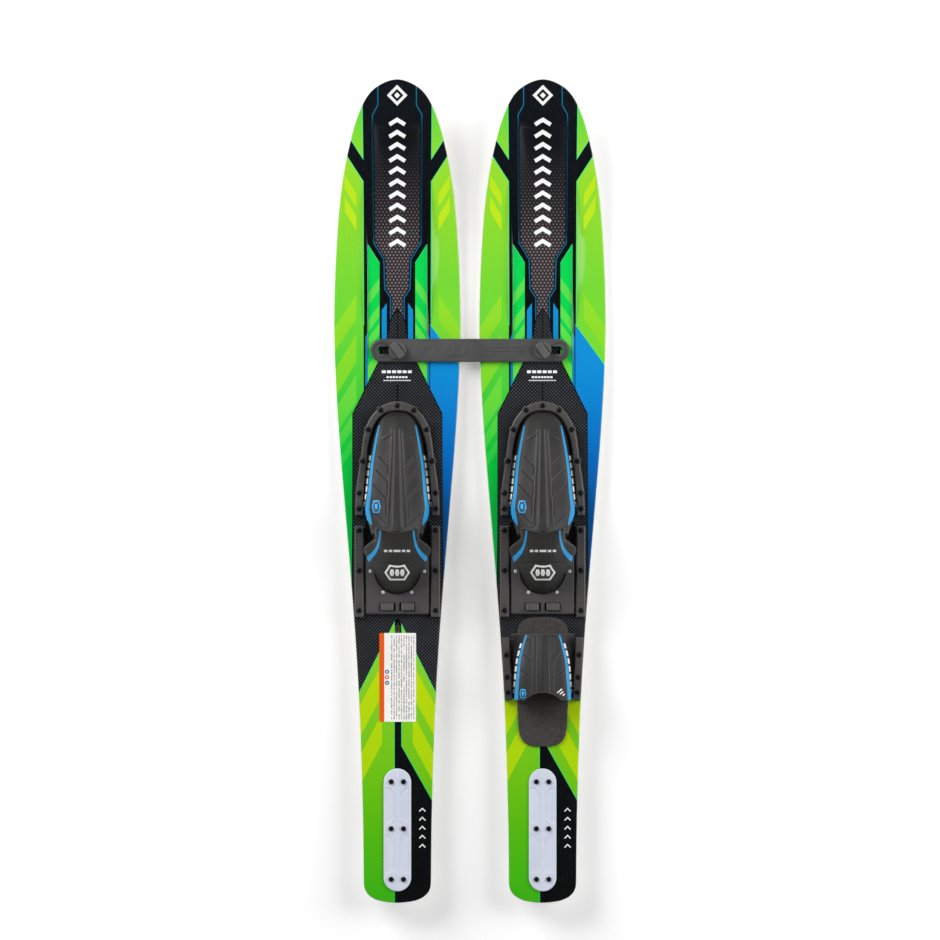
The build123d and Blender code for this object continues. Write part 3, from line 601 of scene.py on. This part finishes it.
def deck_height(y):
    """Height of the flat of the deck at y, which sweeps up to the tip."""
    lift = max(0.0, (y - RISE_START) / RISE_LENGTH)
    return DECK + TIP_RISE * lift**2 - TIP_THINNING * lift


def edge_drop(inset):
    """How far the rounded edge lies below the deck, in millimetres, at a distance inside it."""
    reach = max(0.0, EDGE_RADIUS - SHEET_INSET - inset)
    return EDGE_RADIUS - math.sqrt(EDGE_RADIUS**2 - reach**2)


def inset_of(points, loop):
    """Distance of each point from a closed loop."""
    points, start = np.array(points), np.array(loop)
    step = np.roll(start, -1, axis=0) - start
    away = points[:, None, :] - start[None, :, :]
    along = np.clip((away * step).sum(axis=2) / (step * step).sum(axis=1), 0, 1)
    return np.sqrt(((away - along[:, :, None] * step) ** 2).sum(axis=2).min(axis=1))


def edge_outline(side):
    """Outline of the printed deck, found row by row, in millimetres from the centre line."""
    low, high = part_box(f"{side}_topsheet")
    cast = cad_height(f"{side}_topsheet")
    centre, half_length = (low.y + high.y) / 2, (high.y - low.y) / 2 - 0.05 * MM
    right = []
    for i in range(OUTLINE_ROWS + 1):
        y = centre - half_length * math.cos(math.pi * i / OUTLINE_ROWS)
        outer = BEYOND_EDGE
        while outer > 2 * MM and cast(SKI_X[side] + outer - MM, y)[0] is None:
            outer -= MM
        inner = outer - MM
        for _ in range(BISECTIONS):
            test = (inner + outer) / 2
            if cast(SKI_X[side] + test, y)[0] is None:
                outer = test
            else:
                inner = test
        right.append((inner / MM, y / MM))
    return right + mirrored(reversed(right[1:-1]))


def inward(loop, inset):
    """A closed anticlockwise loop moved towards its inside."""
    moved = []
    for i, (x, y) in enumerate(loop):
        before, after = Vector(loop[i - 1]), Vector(loop[(i + 1) % len(loop)])
        along = (after - before).normalized()
        moved.append((x - along.y * inset, y + along.x * inset))
    return moved


def anticlockwise(loop):
    """The same closed loop, turned if need be so that its inside is on its left."""
    area = sum(a[0] * b[1] - b[0] * a[1] for a, b in zip(loop, loop[1:] + loop[:1]))
    return loop if area > 0 else loop[::-1]


def ring(x, y, radius, steps=20):
    """A circle's outline."""
    return [
        (x + radius * math.cos(2 * math.pi * i / steps), y + radius * math.sin(2 * math.pi * i / steps))
        for i in range(steps)
    ]


def build_deck(side, prints):
    """The printed sheet: its artwork cut as flat shapes, laid on the CAD deck and thickened."""
    outline = anticlockwise(edge_outline(side))
    rims = [inward(outline, inset) for inset in (0.5, 1.2, EDGE_RADIUS - SHEET_INSET)]
    art = deck_art()
    names = sorted(prints)
    holes = [ring(0, BAR_Y / MM, BAR_HOLE_RADIUS)]
    if side == "left":
        holes.append(ring(0, BARE_INSERT_Y, BARE_INSERT_RADIUS))
    shapes = [outline] + [anticlockwise(points) for _, points in art] + rims + holes
    fills = [names.index("black_print")] + [names.index(name) for name, _ in art]
    fills += [None] * len(rims) + [-1] * len(holes)
    corners, faces = [], []
    for shape in shapes:
        faces.append(list(range(len(corners), len(corners) + len(shape))))
        corners.extend(Vector(p) for p in shape)
    for y in range(-660, 690, 15):
        corners.extend(Vector((x, y)) for x in range(-100, 101, 20))
    flat, _, cells, _, _, owners = delaunay_2d_cdt(corners, [], faces, 1, 1e-4)
    chosen, indices = [], []
    for cell, owner in zip(cells, owners):
        if 0 not in owner:
            continue
        fill = [fills[i] for i in sorted(owner) if fills[i] is not None][-1]
        if fill < 0:
            continue
        chosen.append(cell)
        indices.append(fill)
    vertices = []
    for point, inset in zip(flat, inset_of([tuple(p) for p in flat], outline)):
        z = deck_height(point.y * MM) - edge_drop(inset) * MM
        vertices.append((SKI_X[side] + point.x * MM, point.y * MM, z))
    deck = new_piece(f"{side}_printed_deck", vertices, chosen, [prints[n] for n in names], indices)
    thick = deck.modifiers.new("sheet", "SOLIDIFY")
    thick.thickness = SHEET_THICKNESS
    thick.offset = -1
    apply_modifiers(deck)
    drop_loose(deck)
    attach(deck, f"{side}_ski")
    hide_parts(f"{side}_topsheet")


def drop_loose(piece):
    """Removes vertices that no face uses."""
    mesh = bmesh.new()
    mesh.from_mesh(piece.data)
    bmesh.ops.delete(mesh, geom=[v for v in mesh.verts if not v.link_faces], context="VERTS")
    mesh.to_mesh(piece.data)
    mesh.free()


def deck_prints():
    """Every ink of the deck's artwork."""
    black = [(-690, (5, 8, 10)), (400, (6, 10, 13)), (690, (12, 17, 24))]
    lime = [(345, (116, 212, 50)), (440, (138, 216, 46)), (540, (150, 221, 48)), (640, (96, 214, 62))]
    fading_lime = [(-100, (6, 188, 76)), (60, (2, 196, 60)), (140, (52, 198, 58)), (240, (94, 208, 52))]
    yellow = [(180, (122, 212, 42)), (330, (146, 218, 40)), (440, (188, 229, 30))]
    pale_green = [(60, (40, 206, 66)), (160, (104, 212, 56)), (270, (88, 219, 76))]
    deep_blue = [(-200, (0, 66, 128)), (-60, (2, 84, 150)), (0, (1, 96, 172)), (60, (2, 105, 187))]
    sky_blue = [(120, (4, 120, 198)), (200, (8, 137, 209)), (280, (14, 142, 212))]
    tail = [(-665, (62, 182, 18)), (-560, (86, 188, 12)), (-480, (110, 196, 15)), (-290, (135, 208, 40))]
    return {
        "black_print": printed("black_print", black),
        "lime_print": printed("lime_print", lime),
        "lime_to_green_print": printed("lime_to_green_print", fading_lime + lime),
        "yellow_print": printed("yellow_print", yellow),
        "pale_green_print": printed("pale_green_print", pale_green),
        "blue_print": printed("blue_print", deep_blue + sky_blue),
        "bright_blue_print": printed("bright_blue_print", [(160, (8, 124, 190)), (320, (12, 140, 204))]),
        "emerald_print": printed("emerald_print", [(160, (3, 204, 70)), (420, (5, 212, 82))]),
        "edge_print": printed("edge_print", [(-690, (30, 210, 110)), (690, (60, 232, 140))]),
        "teal_print": printed("teal_print", [(200, (14, 98, 136)), (690, (16, 104, 140))]),
        "tail_green_print": printed("tail_green_print", tail),
        "tail_yellow_print": printed("tail_yellow_print", [(-470, (172, 215, 4)), (-300, (186, 219, 6))]),
        "white_print": printed("white_print", [(-690, (240, 242, 242)), (690, (246, 247, 247))]),
        "honeycomb_print": honeycomb(),
        "weave_print": woven(),
    }


# ---- Boots and pads ------------------------------------------------------------------

VOXEL = 1.15 * MM
# Blue stripes: distance from the centre line along y, and half width along y
TOE_STRIPE = [
    (-56, 42.5), (-50, 44.5), (-42, 48.5), (-34, 49.5), (0, 46), (40, 42.4), (80, 36.4), (110, 30.5),
]
TOE_STRIPE_HALF = [(-56, 0.6), (-48, 3.0), (-40, 5.0), (-30, 3.6), (0, 2.7), (60, 2.2), (110, 1.1)]
CUP_STRIPE = [(-117, 54), (-108, 44.5), (-100, 37.5), (-90, 32), (-78, 29), (-64, 27.5)]
CUP_STRIPE_HALF = [(-117, 6.5), (-105, 5.0), (-90, 2.4), (-64, 1.7)]
STRAP_STRIPE = [(-346, 44.5), (-310, 41.5), (-283, 38.9), (-258, 33.4), (-238, 27.5)]
STRAP_STRIPE_HALF = [(-346, 3.6), (-330, 2.7), (-300, 2.3), (-238, 1.4)]


def outer_face(place, normal, axis_z):
    """1 where a shell's surface faces away from the line inside it."""
    outward = place.copy()
    outward[:, 1] = 0
    outward[:, 2] -= axis_z
    return (np.einsum("ij,ij->i", outward, normal) > 0).astype(float)


def faces_of(piece):
    """The middle and the normal of every face."""
    found = []
    for key in ("center", "normal"):
        values = np.zeros(len(piece.data.polygons) * 3)
        piece.data.polygons.foreach_get(key, values)
        found.append(values.reshape(-1, 3))
    return found


def add_lining(piece, outward, lining):
    """Gives the faces on the inside of a shell a second, plain material."""
    piece.data.materials.append(lining)
    piece.data.polygons.foreach_set("material_index", (outward < 0.5).astype(int))


VAMP_GROOVES = [
    [(29.5, 57), (15.2, 41), (15.2, 29)],
    [(34.6, 35), (15.8, 15.5), (15.8, -8)],
    [(39.6, 11), (18.5, -12), (18.3, -42)],
]
STRAP_GROOVES = [
    [(11.5, -241), (13.2, -333)],
    [(26, -246.5), (19.6, -245.5), (19.6, -270)],
    [(29.5, -272), (20.2, -282), (20.2, -304)],
    [(35.5, -297), (20.8, -308), (20.8, -330)],
]


def vamp_relief(x, y):
    """Height of the ribs, arrows and grooves on a toe overlay, in plan millimetres."""
    relief = np.zeros(len(x))
    for front, rear, high in ((4.0, 7.0, 0.9), (8.5, 17.5, 0.7)):
        rib = near_line(x, y, [(front, 103), (rear, -58)], 2.4)
        relief += high * rib
    relief -= 0.8 * near_line(x, y, [(6.4, 98), (12.0, -58)], 1.7)
    relief += 0.8 * near_line(x, y, [(10.2, 96), (24.4, 88)], 2.6)
    for groove in VAMP_GROOVES:
        relief -= 1.3 * near_line(x, y, groove, 1.7)
    relief -= 0.8 * near_line(x, y, [(36, -38), (20, -54)], 2.2)
    return relief


def strap_relief(x, y):
    """Height of the middle rib and the grooves on the rear toe strap, in plan millimetres."""
    relief = 0.5 * near_line(x, y, [(0, -240), (0, -336)], 7.0)
    for groove in STRAP_GROOVES:
        relief -= 1.2 * near_line(x, y, groove, 1.7)
    return relief


def pressed_shell(node, name, centre_x, relief, material, lining):
    """A rubber arch: the CAD shell on a fine grid, its ribs and grooves pressed into the outside."""
    shell = remeshed(node, name, VOXEL)
    place, normal = points_of(shell), normals_of(shell)
    place[:, 0] -= centre_x
    outer = outer_face(place, normal, SHELL_AXIS_Z) * np.clip(normal[:, 2] * 2, 0, 1)
    x, y = np.abs(place[:, 0]) / MM, place[:, 1] / MM
    push(shell, relief(x, y) * outer * MM)
    shell.data.materials.append(material)
    middles, normals = faces_of(shell)
    middles[:, 0] -= centre_x
    add_lining(shell, outer_face(middles, normals, SHELL_AXIS_Z), lining)
    return shell


def build_vamp(side, material, lining):
    """Toe overlay of one ski."""
    node = f"{side}_toe_overlay"
    vamp = pressed_shell(node, f"{side}_toe_rubber", SKI_X[side], vamp_relief, material, lining)
    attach(vamp, f"{side}_ski")
    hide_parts(f"{side}_toe_overlay")


# Heights above the deck, and where the middle of the leaning cup lies at each
HEEL_LEAN = ((3.0, 106.0), (-118.0, -50.0))
# Half width of the collar, the heights it is drawn in between, and where across the cup that fades in
COLLAR_HALF, COLLAR_LOW, COLLAR_TOP, COLLAR_FADE = 37.5, 84.0, 107.0, 4.0
COLLAR_SIDE, COLLAR_SIDE_FADE = 20.0, 16.0


def cup_relief(x, y, z):
    """Collar seam, rim bead and side grooves of a heel cup."""
    seam = near_line(x, y, [(0, -117), (28, -117), (37, -122), (46, -112), (60, -106)], 2.2)
    relief = -0.9 * seam * (z > 12)
    relief += 0.7 * near_line(x, y, [(0, -67), (30, -61)], 2.6) * (z > 90)
    relief += 0.6 * near_line(x, y, [(34, -66), (38, -84), (52, -92)], 3.0) * (z > 30)
    relief -= 0.5 * near_line(x, y, [(6, -72), (7, -112)], 1.8) * (z > 40)
    relief -= 0.5 * near_line(x, y, [(14, -74), (16, -110)], 1.8) * (z > 40)
    return relief


def slim_collar(cup, centre_x):
    """Draws a cup's collar in above the ankle, where its solid flares into two ears."""
    place = points_of(cup)
    x, z = (place[:, 0] - centre_x) / MM, (place[:, 2] - DECK) / MM
    heights = np.arange(COLLAR_LOW, COLLAR_TOP)
    half = [np.abs(x[np.abs(z - height) < 1.0]).max(initial=COLLAR_HALF) for height in heights]
    share = np.interp(z, [COLLAR_LOW - COLLAR_FADE, *heights], [1.0, *(COLLAR_HALF / np.array(half))])
    beside = np.clip((np.abs(x) - COLLAR_SIDE) / COLLAR_SIDE_FADE, 0, 1)
    place[:, 0] = centre_x + x * (1 + (share - 1) * beside) * MM
    cup.data.vertices.foreach_set("co", place.ravel())
    cup.data.update()


def build_cup(side, material, lining):
    """Heel cup: the CAD shell on a fine grid, with its collar and rim."""
    cup = remeshed(f"{side}_heel_cup", f"{side}_heel_rubber", VOXEL)
    place, normal = points_of(cup), normals_of(cup)
    x, y, z = np.abs(place[:, 0] - SKI_X[side]) / MM, place[:, 1] / MM, (place[:, 2] - DECK) / MM
    outer = (normal[:, 1] < 0.05).astype(float) * (z > 11)
    push(cup, cup_relief(x, y, z) * outer * MM)
    cup.data.materials.append(material)
    middles, normals = faces_of(cup)
    axis_y = np.interp((middles[:, 2] - DECK) / MM, *HEEL_LEAN) * MM
    from_axis = middles[:, :2] - np.column_stack((np.full(len(axis_y), SKI_X[side]), axis_y))
    add_lining(cup, (np.einsum("ij,ij->i", from_axis, normals[:, :2]) > 0).astype(float), lining)
    slim_collar(cup, SKI_X[side])
    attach(cup, f"{side}_carriage")
    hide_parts(f"{side}_heel_cup")


def build_strap(material, lining):
    """Rear toe strap of the right ski."""
    strap = pressed_shell("rear_strap", "rear_toe_rubber", SKI_X["right"], strap_relief, material, lining)
    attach(strap, "right_ski")
    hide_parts("rear_strap")


def build_pad(node, name, body, material, crown):
    """Foam pad: the CAD solid on a fine grid, its top crowned and its rim rolled."""
    pad = remeshed(node, name, VOXEL * 1.3)
    place, normal = points_of(pad), normals_of(pad)
    low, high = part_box(node)
    spot = (place - np.array(low)) / np.array(high - low)
    dome = np.sin(np.pi * np.clip(spot[:, 0], 0, 1)) * np.sin(np.pi * np.clip(spot[:, 1], 0, 1))
    top = np.clip(normal[:, 2], 0, 1)
    push(pad, (dome - 1.0) * crown * top)
    pad.data.materials.append(material)
    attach(pad, body)
    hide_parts(node)


FIN_GROOVES = [
    [(14, -493), (4.8, -501.7), (4.8, -547), (8.5, -552)],
    [(16.5, -569.8), (8.5, -569.8), (4.2, -578), (4.2, -625.7), (10.9, -633)],
]


def build_fin_plate(side, material):
    """Deck plate of the fin: the CAD plate on a fine grid, with its fine flow grooves."""
    plate = remeshed(f"{side}_fin_plate", f"{side}_fin_deck_plate", VOXEL * 0.7)
    place, normal = points_of(plate), normals_of(plate)
    x, y = np.abs(place[:, 0] - SKI_X[side]) / MM, place[:, 1] / MM
    relief = sum(-0.5 * near_line(x, y, groove, 1.2) for groove in FIN_GROOVES)
    push(plate, relief * np.clip(normal[:, 2], 0, 1) * MM)
    plate.data.materials.append(material)
    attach(plate, f"{side}_ski")
    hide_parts(f"{side}_fin_plate")


def patch(name, node, centre, outline, material, lift=0.35 * MM, thick=0.9 * MM):
    """A thin raised patch laid on a CAD node's upper surface.

    centre is in metres. outline is in millimetres about it, in plan."""
    cast = cad_height(node)
    corners = [Vector(p) for p in outline]
    xs, ys = [p.x for p in corners], [p.y for p in corners]
    grid = [
        Vector((x, y))
        for x in np.arange(min(xs), max(xs), 2.0)
        for y in np.arange(min(ys), max(ys), 2.0)
    ]
    flat, _, cells, _, _, _ = delaunay_2d_cdt(corners + grid, [], [list(range(len(corners)))], 1, 1e-4)
    vertices = []
    for point in flat:
        hit, normal = cast(centre[0] + point.x * MM, centre[1] + point.y * MM)
        vertices.append(hit + normal * lift if hit else Vector((centre[0], centre[1], DECK)))
    piece = new_piece(name, vertices, cells, [material])
    body = piece.modifiers.new("thickness", "SOLIDIFY")
    body.thickness = thick
    body.offset = -1
    apply_modifiers(piece)
    drop_loose(piece)
    return piece


def hexagon(half_x, half_y):
    """A wide hexagon about the origin."""
    cut = half_x * 0.6
    return [(-half_x, 0), (-cut, -half_y), (cut, -half_y), (half_x, 0), (cut, half_y), (-cut, half_y)]


def badge(name, node, centre, half, rise, body, colours):
    """A small hexagon badge in three layers, each a little higher than the last."""
    layers = ((1.0, 1.0, 0.35), (0.72, 0.76, 0.6), (0.34, 0.44, 0.85))
    for i, (across, along, lift) in enumerate(layers):
        outline = hexagon(half * across, rise * along)
        piece = patch(f"{name}_{i}", node, centre, outline, colours[i % 2], lift * MM)
        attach(piece, body)


def slashes(name, node, centre, body, material):
    """Three short slanted bars, the last one shorter."""
    for i, length in enumerate((11.0, 8.0, 5.0)):
        x, y = i * 3.4 - 3.4, 1.5 - i * 3.2
        bar = stroke([(x - length * 0.36, y - length * 0.3), (x + length * 0.36, y + length * 0.3)], 1.9)
        piece = patch(f"{name}_{i}", node, centre, bar, material, 0.3 * MM)
        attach(piece, body)


def build_badges(side, pale, dark, blue):
    """Plain badges: a hexagon on the heel, and a small one on the toe overlay."""
    heel = (SKI_X[side], -134 * MM)
    plate = patch(f"{side}_heel_badge", f"{side}_heel_cup", heel, hexagon(21, 13), pale)
    inset = patch(f"{side}_heel_badge_field", f"{side}_heel_cup", heel, hexagon(17.5, 10), dark, 0.6 * MM)
    bars = []
    for i, x in enumerate((-8.5, 0, 8.5)):
        place = (heel[0] + x * MM, heel[1])
        bar = hexagon(3.6, 5.4)
        bars.append(patch(f"{side}_heel_badge_bar_{i}", f"{side}_heel_cup", place, bar, pale, 0.85 * MM))
    for piece in [plate, inset, *bars]:
        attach(piece, f"{side}_carriage")
    toe, body = f"{side}_toe_overlay", f"{side}_ski"
    badge(f"{side}_toe_badge", toe, (SKI_X[side] - 34.5 * MM, -25 * MM), 7.5, 10.5, body, (blue, dark))


# ---- Hardware ------------------------------------------------------------------------


def build_springs(side, material):
    """The two springs of a carriage, copied from their CAD nodes in spring steel and hung on the carriage.
    """
    for place in ("outer", "inner"):
        node = f"{side}_tab_spring_{place}"
        coil = bpy.data.objects.new(f"{side}_tab_coil_{place}", NODES[node].data.copy())
        bpy.context.scene.collection.objects.link(coil)
        coil.data.materials.clear()
        coil.data.materials.append(material)
        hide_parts(node)
        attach(coil, f"{side}_carriage")
        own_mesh(coil)


def dress(node, material):
    """Gives a CAD node its material."""
    mesh = NODES[node].data
    mesh.materials.clear()
    mesh.materials.append(material)


def dress_hardware():
    """Materials for every CAD node that stays in view."""
    frame_plastic = moulded("frame_plastic", (64, 62, 61), 0.42)
    rail_plastic = moulded("rail_plastic", (60, 58, 57), 0.44)
    cover_plastic = moulded("carriage_plastic", (56, 54, 54), 0.5, 0.7 * MM)
    tab = moulded("tab_plastic", (74, 72, 71), 0.45)
    bar = moulded("bar_plastic", (62, 61, 61), 0.46, 0.9 * MM)
    knob = moulded("knob_plastic", (78, 77, 77), 0.5)
    rim = moulded("sidewall_plastic", (206, 204, 194), 0.35, 1.2 * MM)
    steel = metal("binding_steel", (150, 150, 152), 0.32)
    black_steel = metal("black_steel", (40, 40, 43), 0.14, 0.4)
    bright = metal("rivet_steel", (226, 226, 228), 0.25, 0.35)
    brass = metal("insert_brass", (196, 158, 92), 0.3)
    nylon = fin_plastic("fin_nylon")
    looks = {
        "ski_core": rim,
        "bar_insert": brass,
        "binding_inserts": brass,
        "fin": nylon,
        "fin_screws": black_steel,
        "toe_frame": frame_plastic,
        "toe_frame_screws": black_steel,
        "rail_outer": rail_plastic,
        "rail_inner": rail_plastic,
        "rail_screws": black_steel,
        "carriage_base": cover_plastic,
        "carriage_cover": cover_plastic,
        "heel_rivets": bright,
        "release_tab_outer": tab,
        "release_tab_inner": tab,
        "bushing": moulded("bushing_nylon", (40, 40, 42), 0.4),
        "knob": knob,
        "knob_stud": steel,
    }
    for side in SIDES:
        for name, material in looks.items():
            dress(f"{side}_{name}", material)
        build_springs(side, steel)
    dress("trainer_bar", bar)
    dress("rear_plate_outer", rail_plastic)
    dress("rear_plate_inner", rail_plastic)
    dress("rear_screws", black_steel)
    dress("care_label", label_paper())


# ---- Stage ---------------------------------------------------------------------------


FLOOR_HALF, FLOOR_GAP, FLOOR_GLOW = 30.0, 0.5 * MM, 0.18
BELLY_Y = 0.33
CAMERA_DISTANCE, CAMERA_Y, CAMERA_FIELD = 16.0, 0.036, 1.564


def build_floor():
    """A pale floor under the fins and bellies."""
    fin_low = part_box("left_fin")[0].z
    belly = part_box("left_ski_core")[0].z
    fin_y = middle("left_fin").y
    slope = (belly - fin_low) / (BELLY_Y - fin_y)
    look = Look("floor_paint")
    paint = look.mix(look.noise(0.4), linear((250, 250, 250)), linear((247, 247, 248)))
    look.finish(paint, 0.9, Emission_Color=paint, Emission_Strength=FLOOR_GLOW)
    corners = []
    for across, along in ((-1, -1), (1, -1), (1, 1), (-1, 1)):
        x, y = across * FLOOR_HALF, along * FLOOR_HALF
        corners.append((x, y, fin_low - FLOOR_GAP + slope * (y - fin_y)))
    floor = new_piece("floor", corners, [(0, 1, 2, 3)], [look.material], smooth=False)


def build_sky():
    """A soft dome, white at the horizon and dark overhead."""
    world = bpy.data.worlds.new("studio")
    bpy.context.scene.world = world
    world.use_nodes = True
    tree = world.node_tree
    sky = tree.nodes.new("ShaderNodeTexCoord")
    split = tree.nodes.new("ShaderNodeSeparateXYZ")
    tone = tree.nodes.new("ShaderNodeValToRGB")
    tree.links.new(sky.outputs["Generated"], split.inputs[0])
    tree.links.new(split.outputs["Z"], tone.inputs["Fac"])
    tree.links.new(tone.outputs["Color"], tree.nodes["Background"].inputs["Color"])
    for element, (position, grey) in zip(tone.color_ramp.elements, ((0.12, 1), (0.8, 0.05))):
        element.position = position
        element.color = (grey, grey, grey, 1)
    tree.nodes["Background"].inputs["Strength"].default_value = 1.0


def area_light(name, place, size, watts):
    """A square soft light aimed at the middle of the pair."""
    light = bpy.data.lights.new(name, "AREA")
    light.shape = "SQUARE"
    light.size = size
    light.energy = watts
    lamp = bpy.data.objects.new(name, light)
    lamp.location = place
    lamp.rotation_euler = (-Vector(place)).to_track_quat("-Z", "Y").to_euler()
    bpy.context.scene.collection.objects.link(lamp)


def build_stage():
    """Floor, soft lights, and a camera over the decks."""
    build_floor()
    build_sky()
    area_light("key", (-2.6, 2.3, 2.6), 2.4, 150)
    area_light("fill", (2.8, 0.8, 2.4), 2.6, 90)
    camera = bpy.data.cameras.new("camera")
    camera.sensor_width = 36
    camera.lens = camera.sensor_width * CAMERA_DISTANCE / CAMERA_FIELD
    camera.clip_end = 200
    eye = bpy.data.objects.new("camera", camera)
    eye.location = (0, CAMERA_Y, CAMERA_DISTANCE + DECK)
    bpy.context.scene.collection.objects.link(eye)
    bpy.context.scene.camera = eye
    bpy.context.scene.view_settings.view_transform = "Standard"


# ---- Everything ----------------------------------------------------------------------

dress_hardware()
PRINTS = deck_prints()
NYLON = fin_plastic("deck_plate_nylon")
FOAM = foam("foam_black", (40, 40, 42))
PAD_FOAM = foam("foam_grey", (42, 39, 38))
LINING = foam("lining_black", (28, 27, 27))
PALE = moulded("badge_pale", (226, 227, 226), 0.4)
DARK = moulded("badge_dark", (40, 40, 41), 0.5)
BLUE = moulded("badge_blue", (24, 150, 224), 0.4)
for ski_side in SIDES:
    ski_x, ski, carriage = SKI_X[ski_side], f"{ski_side}_ski", f"{ski_side}_carriage"
    toe_stripe, cup_stripe = (TOE_STRIPE, TOE_STRIPE_HALF), (CUP_STRIPE, CUP_STRIPE_HALF)
    toe = boot_rubber(f"{ski_side}_toe_black", (31, 29, 29), ski_x, *toe_stripe, (-32, 60, 3.4, 1.9))
    heel = boot_rubber(f"{ski_side}_heel_black", (26, 24, 23), ski_x, *cup_stripe, line=(-98, 2.0, 22))
    build_deck(ski_side, PRINTS)
    build_vamp(ski_side, toe, LINING)
    build_cup(ski_side, heel, LINING)
    build_badges(ski_side, PALE, DARK, BLUE)
    build_fin_plate(ski_side, NYLON)
    build_pad(f"{ski_side}_footbed", f"{ski_side}_footbed_foam", ski, FOAM, 0.4 * MM)
    build_pad(f"{ski_side}_heel_pad", f"{ski_side}_heel_foam", carriage, FOAM, 0.4 * MM)
rear_x = SKI_X["right"]
strap_stripe = (STRAP_STRIPE, STRAP_STRIPE_HALF)
rear_toe = boot_rubber("rear_toe_black", (27, 25, 25), rear_x, *strap_stripe, (-336, -252, 2.4, 1.6))
build_strap(rear_toe, LINING)
badge("rear_strap_badge", "rear_strap", (rear_x - 33 * MM, -335 * MM), 5.6, 7.6, "right_ski", (BLUE, DARK))
slashes("rear_strap_slash", "rear_strap", (rear_x + 31 * MM, -332 * MM), "right_ski", PALE)
build_pad("rear_pad", "rear_pad_foam", "right_ski", PAD_FOAM, 0.8 * MM)
build_stage()
